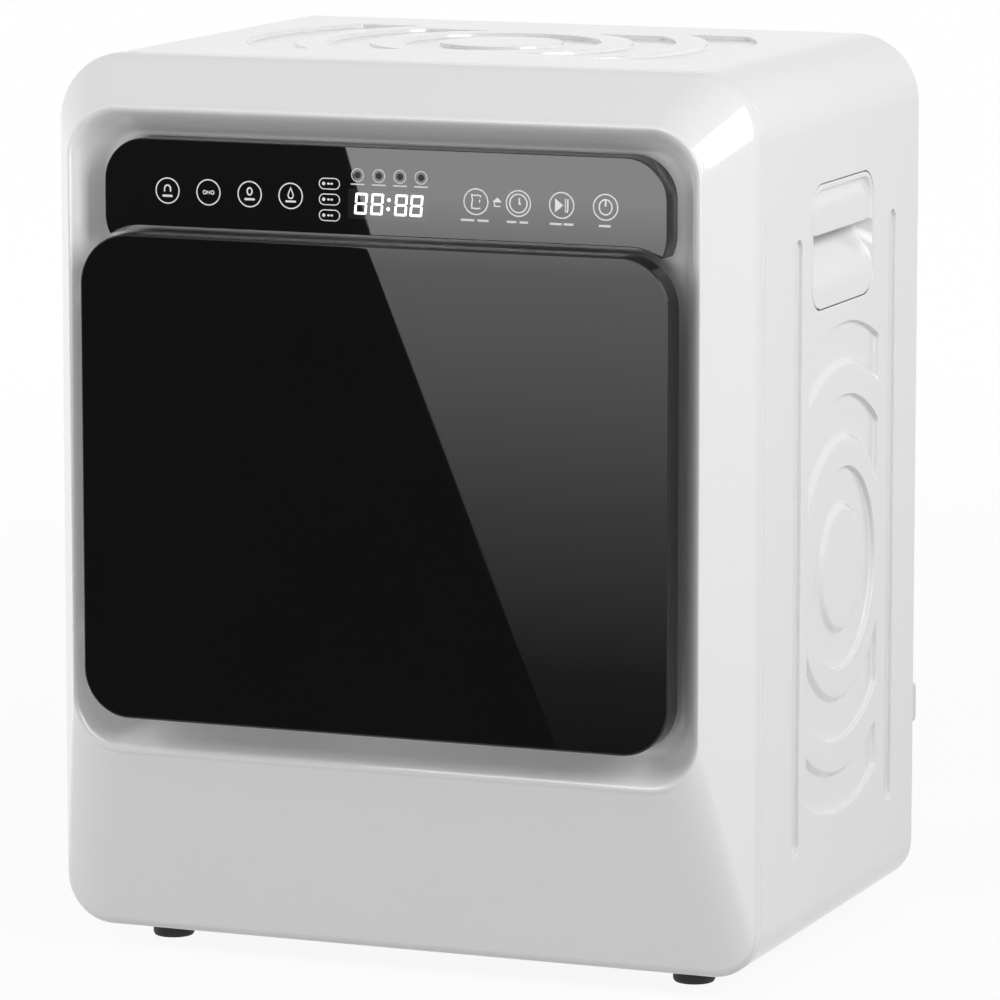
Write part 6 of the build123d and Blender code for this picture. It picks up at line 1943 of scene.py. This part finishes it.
@dataclass
class Studio:
    """Camera, room light, floor and lamps."""

    camera_place: Place = (1.5602, -3.9258, 0.9616)
    camera_right: Place = (0.93001, 0.36753, 0.0)
    camera_up: Place = (-0.05749, 0.14549, 0.98769)
    camera_back: Place = (0.36300, -0.91856, 0.15643)
    lens: float = 228.37
    ambient: float = 0.15
    floor_bounce: float = 0.38
    floor_tone: float = 0.85
    floor_reach: tuple[float, float] = (0.5, 3.0)
    floor_share: tuple[float, float] = (0.92, 0.995)
    lamps: tuple[SoftLamp, ...] = (
        SoftLamp("top_lamp", (0.4, -1.2, 2.6), (1.6, 1.6), 4.0, glints=False),
        SoftLamp("right_lamp", (2.5, -0.7, 1.7), (1.4, 1.7), 52.0),
        SoftLamp("left_lamp", (-2.4, -0.9, 1.25), (0.6, 1.5), 27.0, glints=False),
        SoftLamp("left_rear_lamp", (-2.6, 3.0, 1.7), (1.6, 1.6), 29.0, glints=False),
        SoftLamp("rear_lamp", (0.7, 3.0, 2.8), (1.8, 1.1), 16.0, glints=False),
        SoftLamp("front_lamp", (-0.1, -3.4, 0.38), (2.4, 0.4), 37.0, glints=False),
    )

    def camera(self) -> None:
        """Put the camera at the photograph's viewing angle."""
        data = bpy.data.cameras.new("camera")
        data.lens = self.lens
        data.sensor_width = 36.0
        data.clip_start, data.clip_end = 0.1, 50.0
        thing = put("camera", data)
        columns = (self.camera_right, self.camera_up, self.camera_back)
        turn = Matrix([[c[i] for c in columns] for i in range(3)]).to_4x4()
        thing.matrix_world = Matrix.Translation(self.camera_place) @ turn
        bpy.context.scene.camera = thing

    def seen(self, tree: bpy.types.NodeTree) -> bpy.types.NodeSocket:
        """Return a value of one for camera, glossy and transmission rays.

        Args:
            tree: Tree that gets the nodes.

        Returns:
            The socket with the value.
        """
        path = node(tree, "LightPath")
        value = path.outputs["Is Camera Ray"]
        for label in ("Is Glossy Ray", "Is Transmission Ray"):
            value = node(tree, "Math", {0: value, 1: path.outputs[label]}, operation="MAXIMUM").outputs[0]
        return value

    def world(self) -> None:
        """Fill the room with even pale light that shows white to the camera and in reflections."""
        world = bpy.data.worlds.new("room")
        tree = blank_tree(world)
        lit, shown = (node(tree, "Background", {"Color": WHITE, "Strength": s}).outputs[0] for s in (self.ambient, 1.0))
        mix = node(tree, "MixShader", {"Fac": self.seen(tree), 1: lit, 2: shown})
        node(tree, "OutputWorld", {"Surface": mix.outputs[0]})
        bpy.context.scene.world = world

    def floor(self) -> None:
        """Lay a plain pale floor that takes the dryer's shadow."""
        mesh = bpy.data.meshes.new("floor")
        mesh.from_pydata([(-14, -14, 0), (14, -14, 0), (14, 14, 0), (-14, 14, 0)], [], [(0, 1, 2, 3)])
        put("floor", mesh)
        material = bpy.data.materials.new("pale_floor")
        tree = blank_tree(material)
        seen = self.seen(tree)
        bounce, shown = ((value, value, value) for value in (self.floor_bounce, self.floor_tone))
        tone = node(tree, "Mix", {"Factor": seen, "A": bounce, "B": shown}, data_type="RGBA")
        matt = node(tree, "BsdfDiffuse", {"Color": tone.outputs["Result"]})
        glow = node(tree, "Emission", {"Strength": 1.0})
        away = node(tree, "VectorMath", {0: node(tree, "TexCoord").outputs["Object"]}, operation="LENGTH")
        share = node(tree, "MapRange", {
            "Value": away.outputs["Value"], "From Min": self.floor_reach[0], "From Max": self.floor_reach[1],
            "To Min": self.floor_share[0], "To Max": self.floor_share[1],
        }, interpolation_type="SMOOTHSTEP")
        part = node(tree, "Math", {0: seen, 1: share.outputs["Result"]}, operation="MULTIPLY")
        mix = node(tree, "MixShader", {"Fac": part.outputs[0], 1: matt.outputs[0], 2: glow.outputs[0]})
        node(tree, "OutputMaterial", {"Surface": mix.outputs[0]})
        mesh.materials.append(material)

    def build(self) -> None:
        """Set the whole studio up."""
        self.camera()
        self.world()
        self.floor()
        GlareScreen().build()
        for lamp in self.lamps:
            lamp.build()
        bpy.context.scene.view_settings.view_transform = "Standard"


def main() -> None:
    """Build the dryer's looks in order."""
    logging.basicConfig(level=logging.INFO, format="%(name)s: %(message)s")
    shop = Workshop()
    FrontShell(shop).build()
    CabinetWrap(shop).build()
    for side in (1.0, -1.0):
        GripPocket(shop, side).build()
    RearSheet(shop).build()
    DoorPane(shop).build()
    TouchPanelPrint(shop).build()
    CarriedNodes(shop).build()
    Studio().build()
    LOG.info("%d pieces", len(shop.done))


if __name__ == "__main__":
    main()
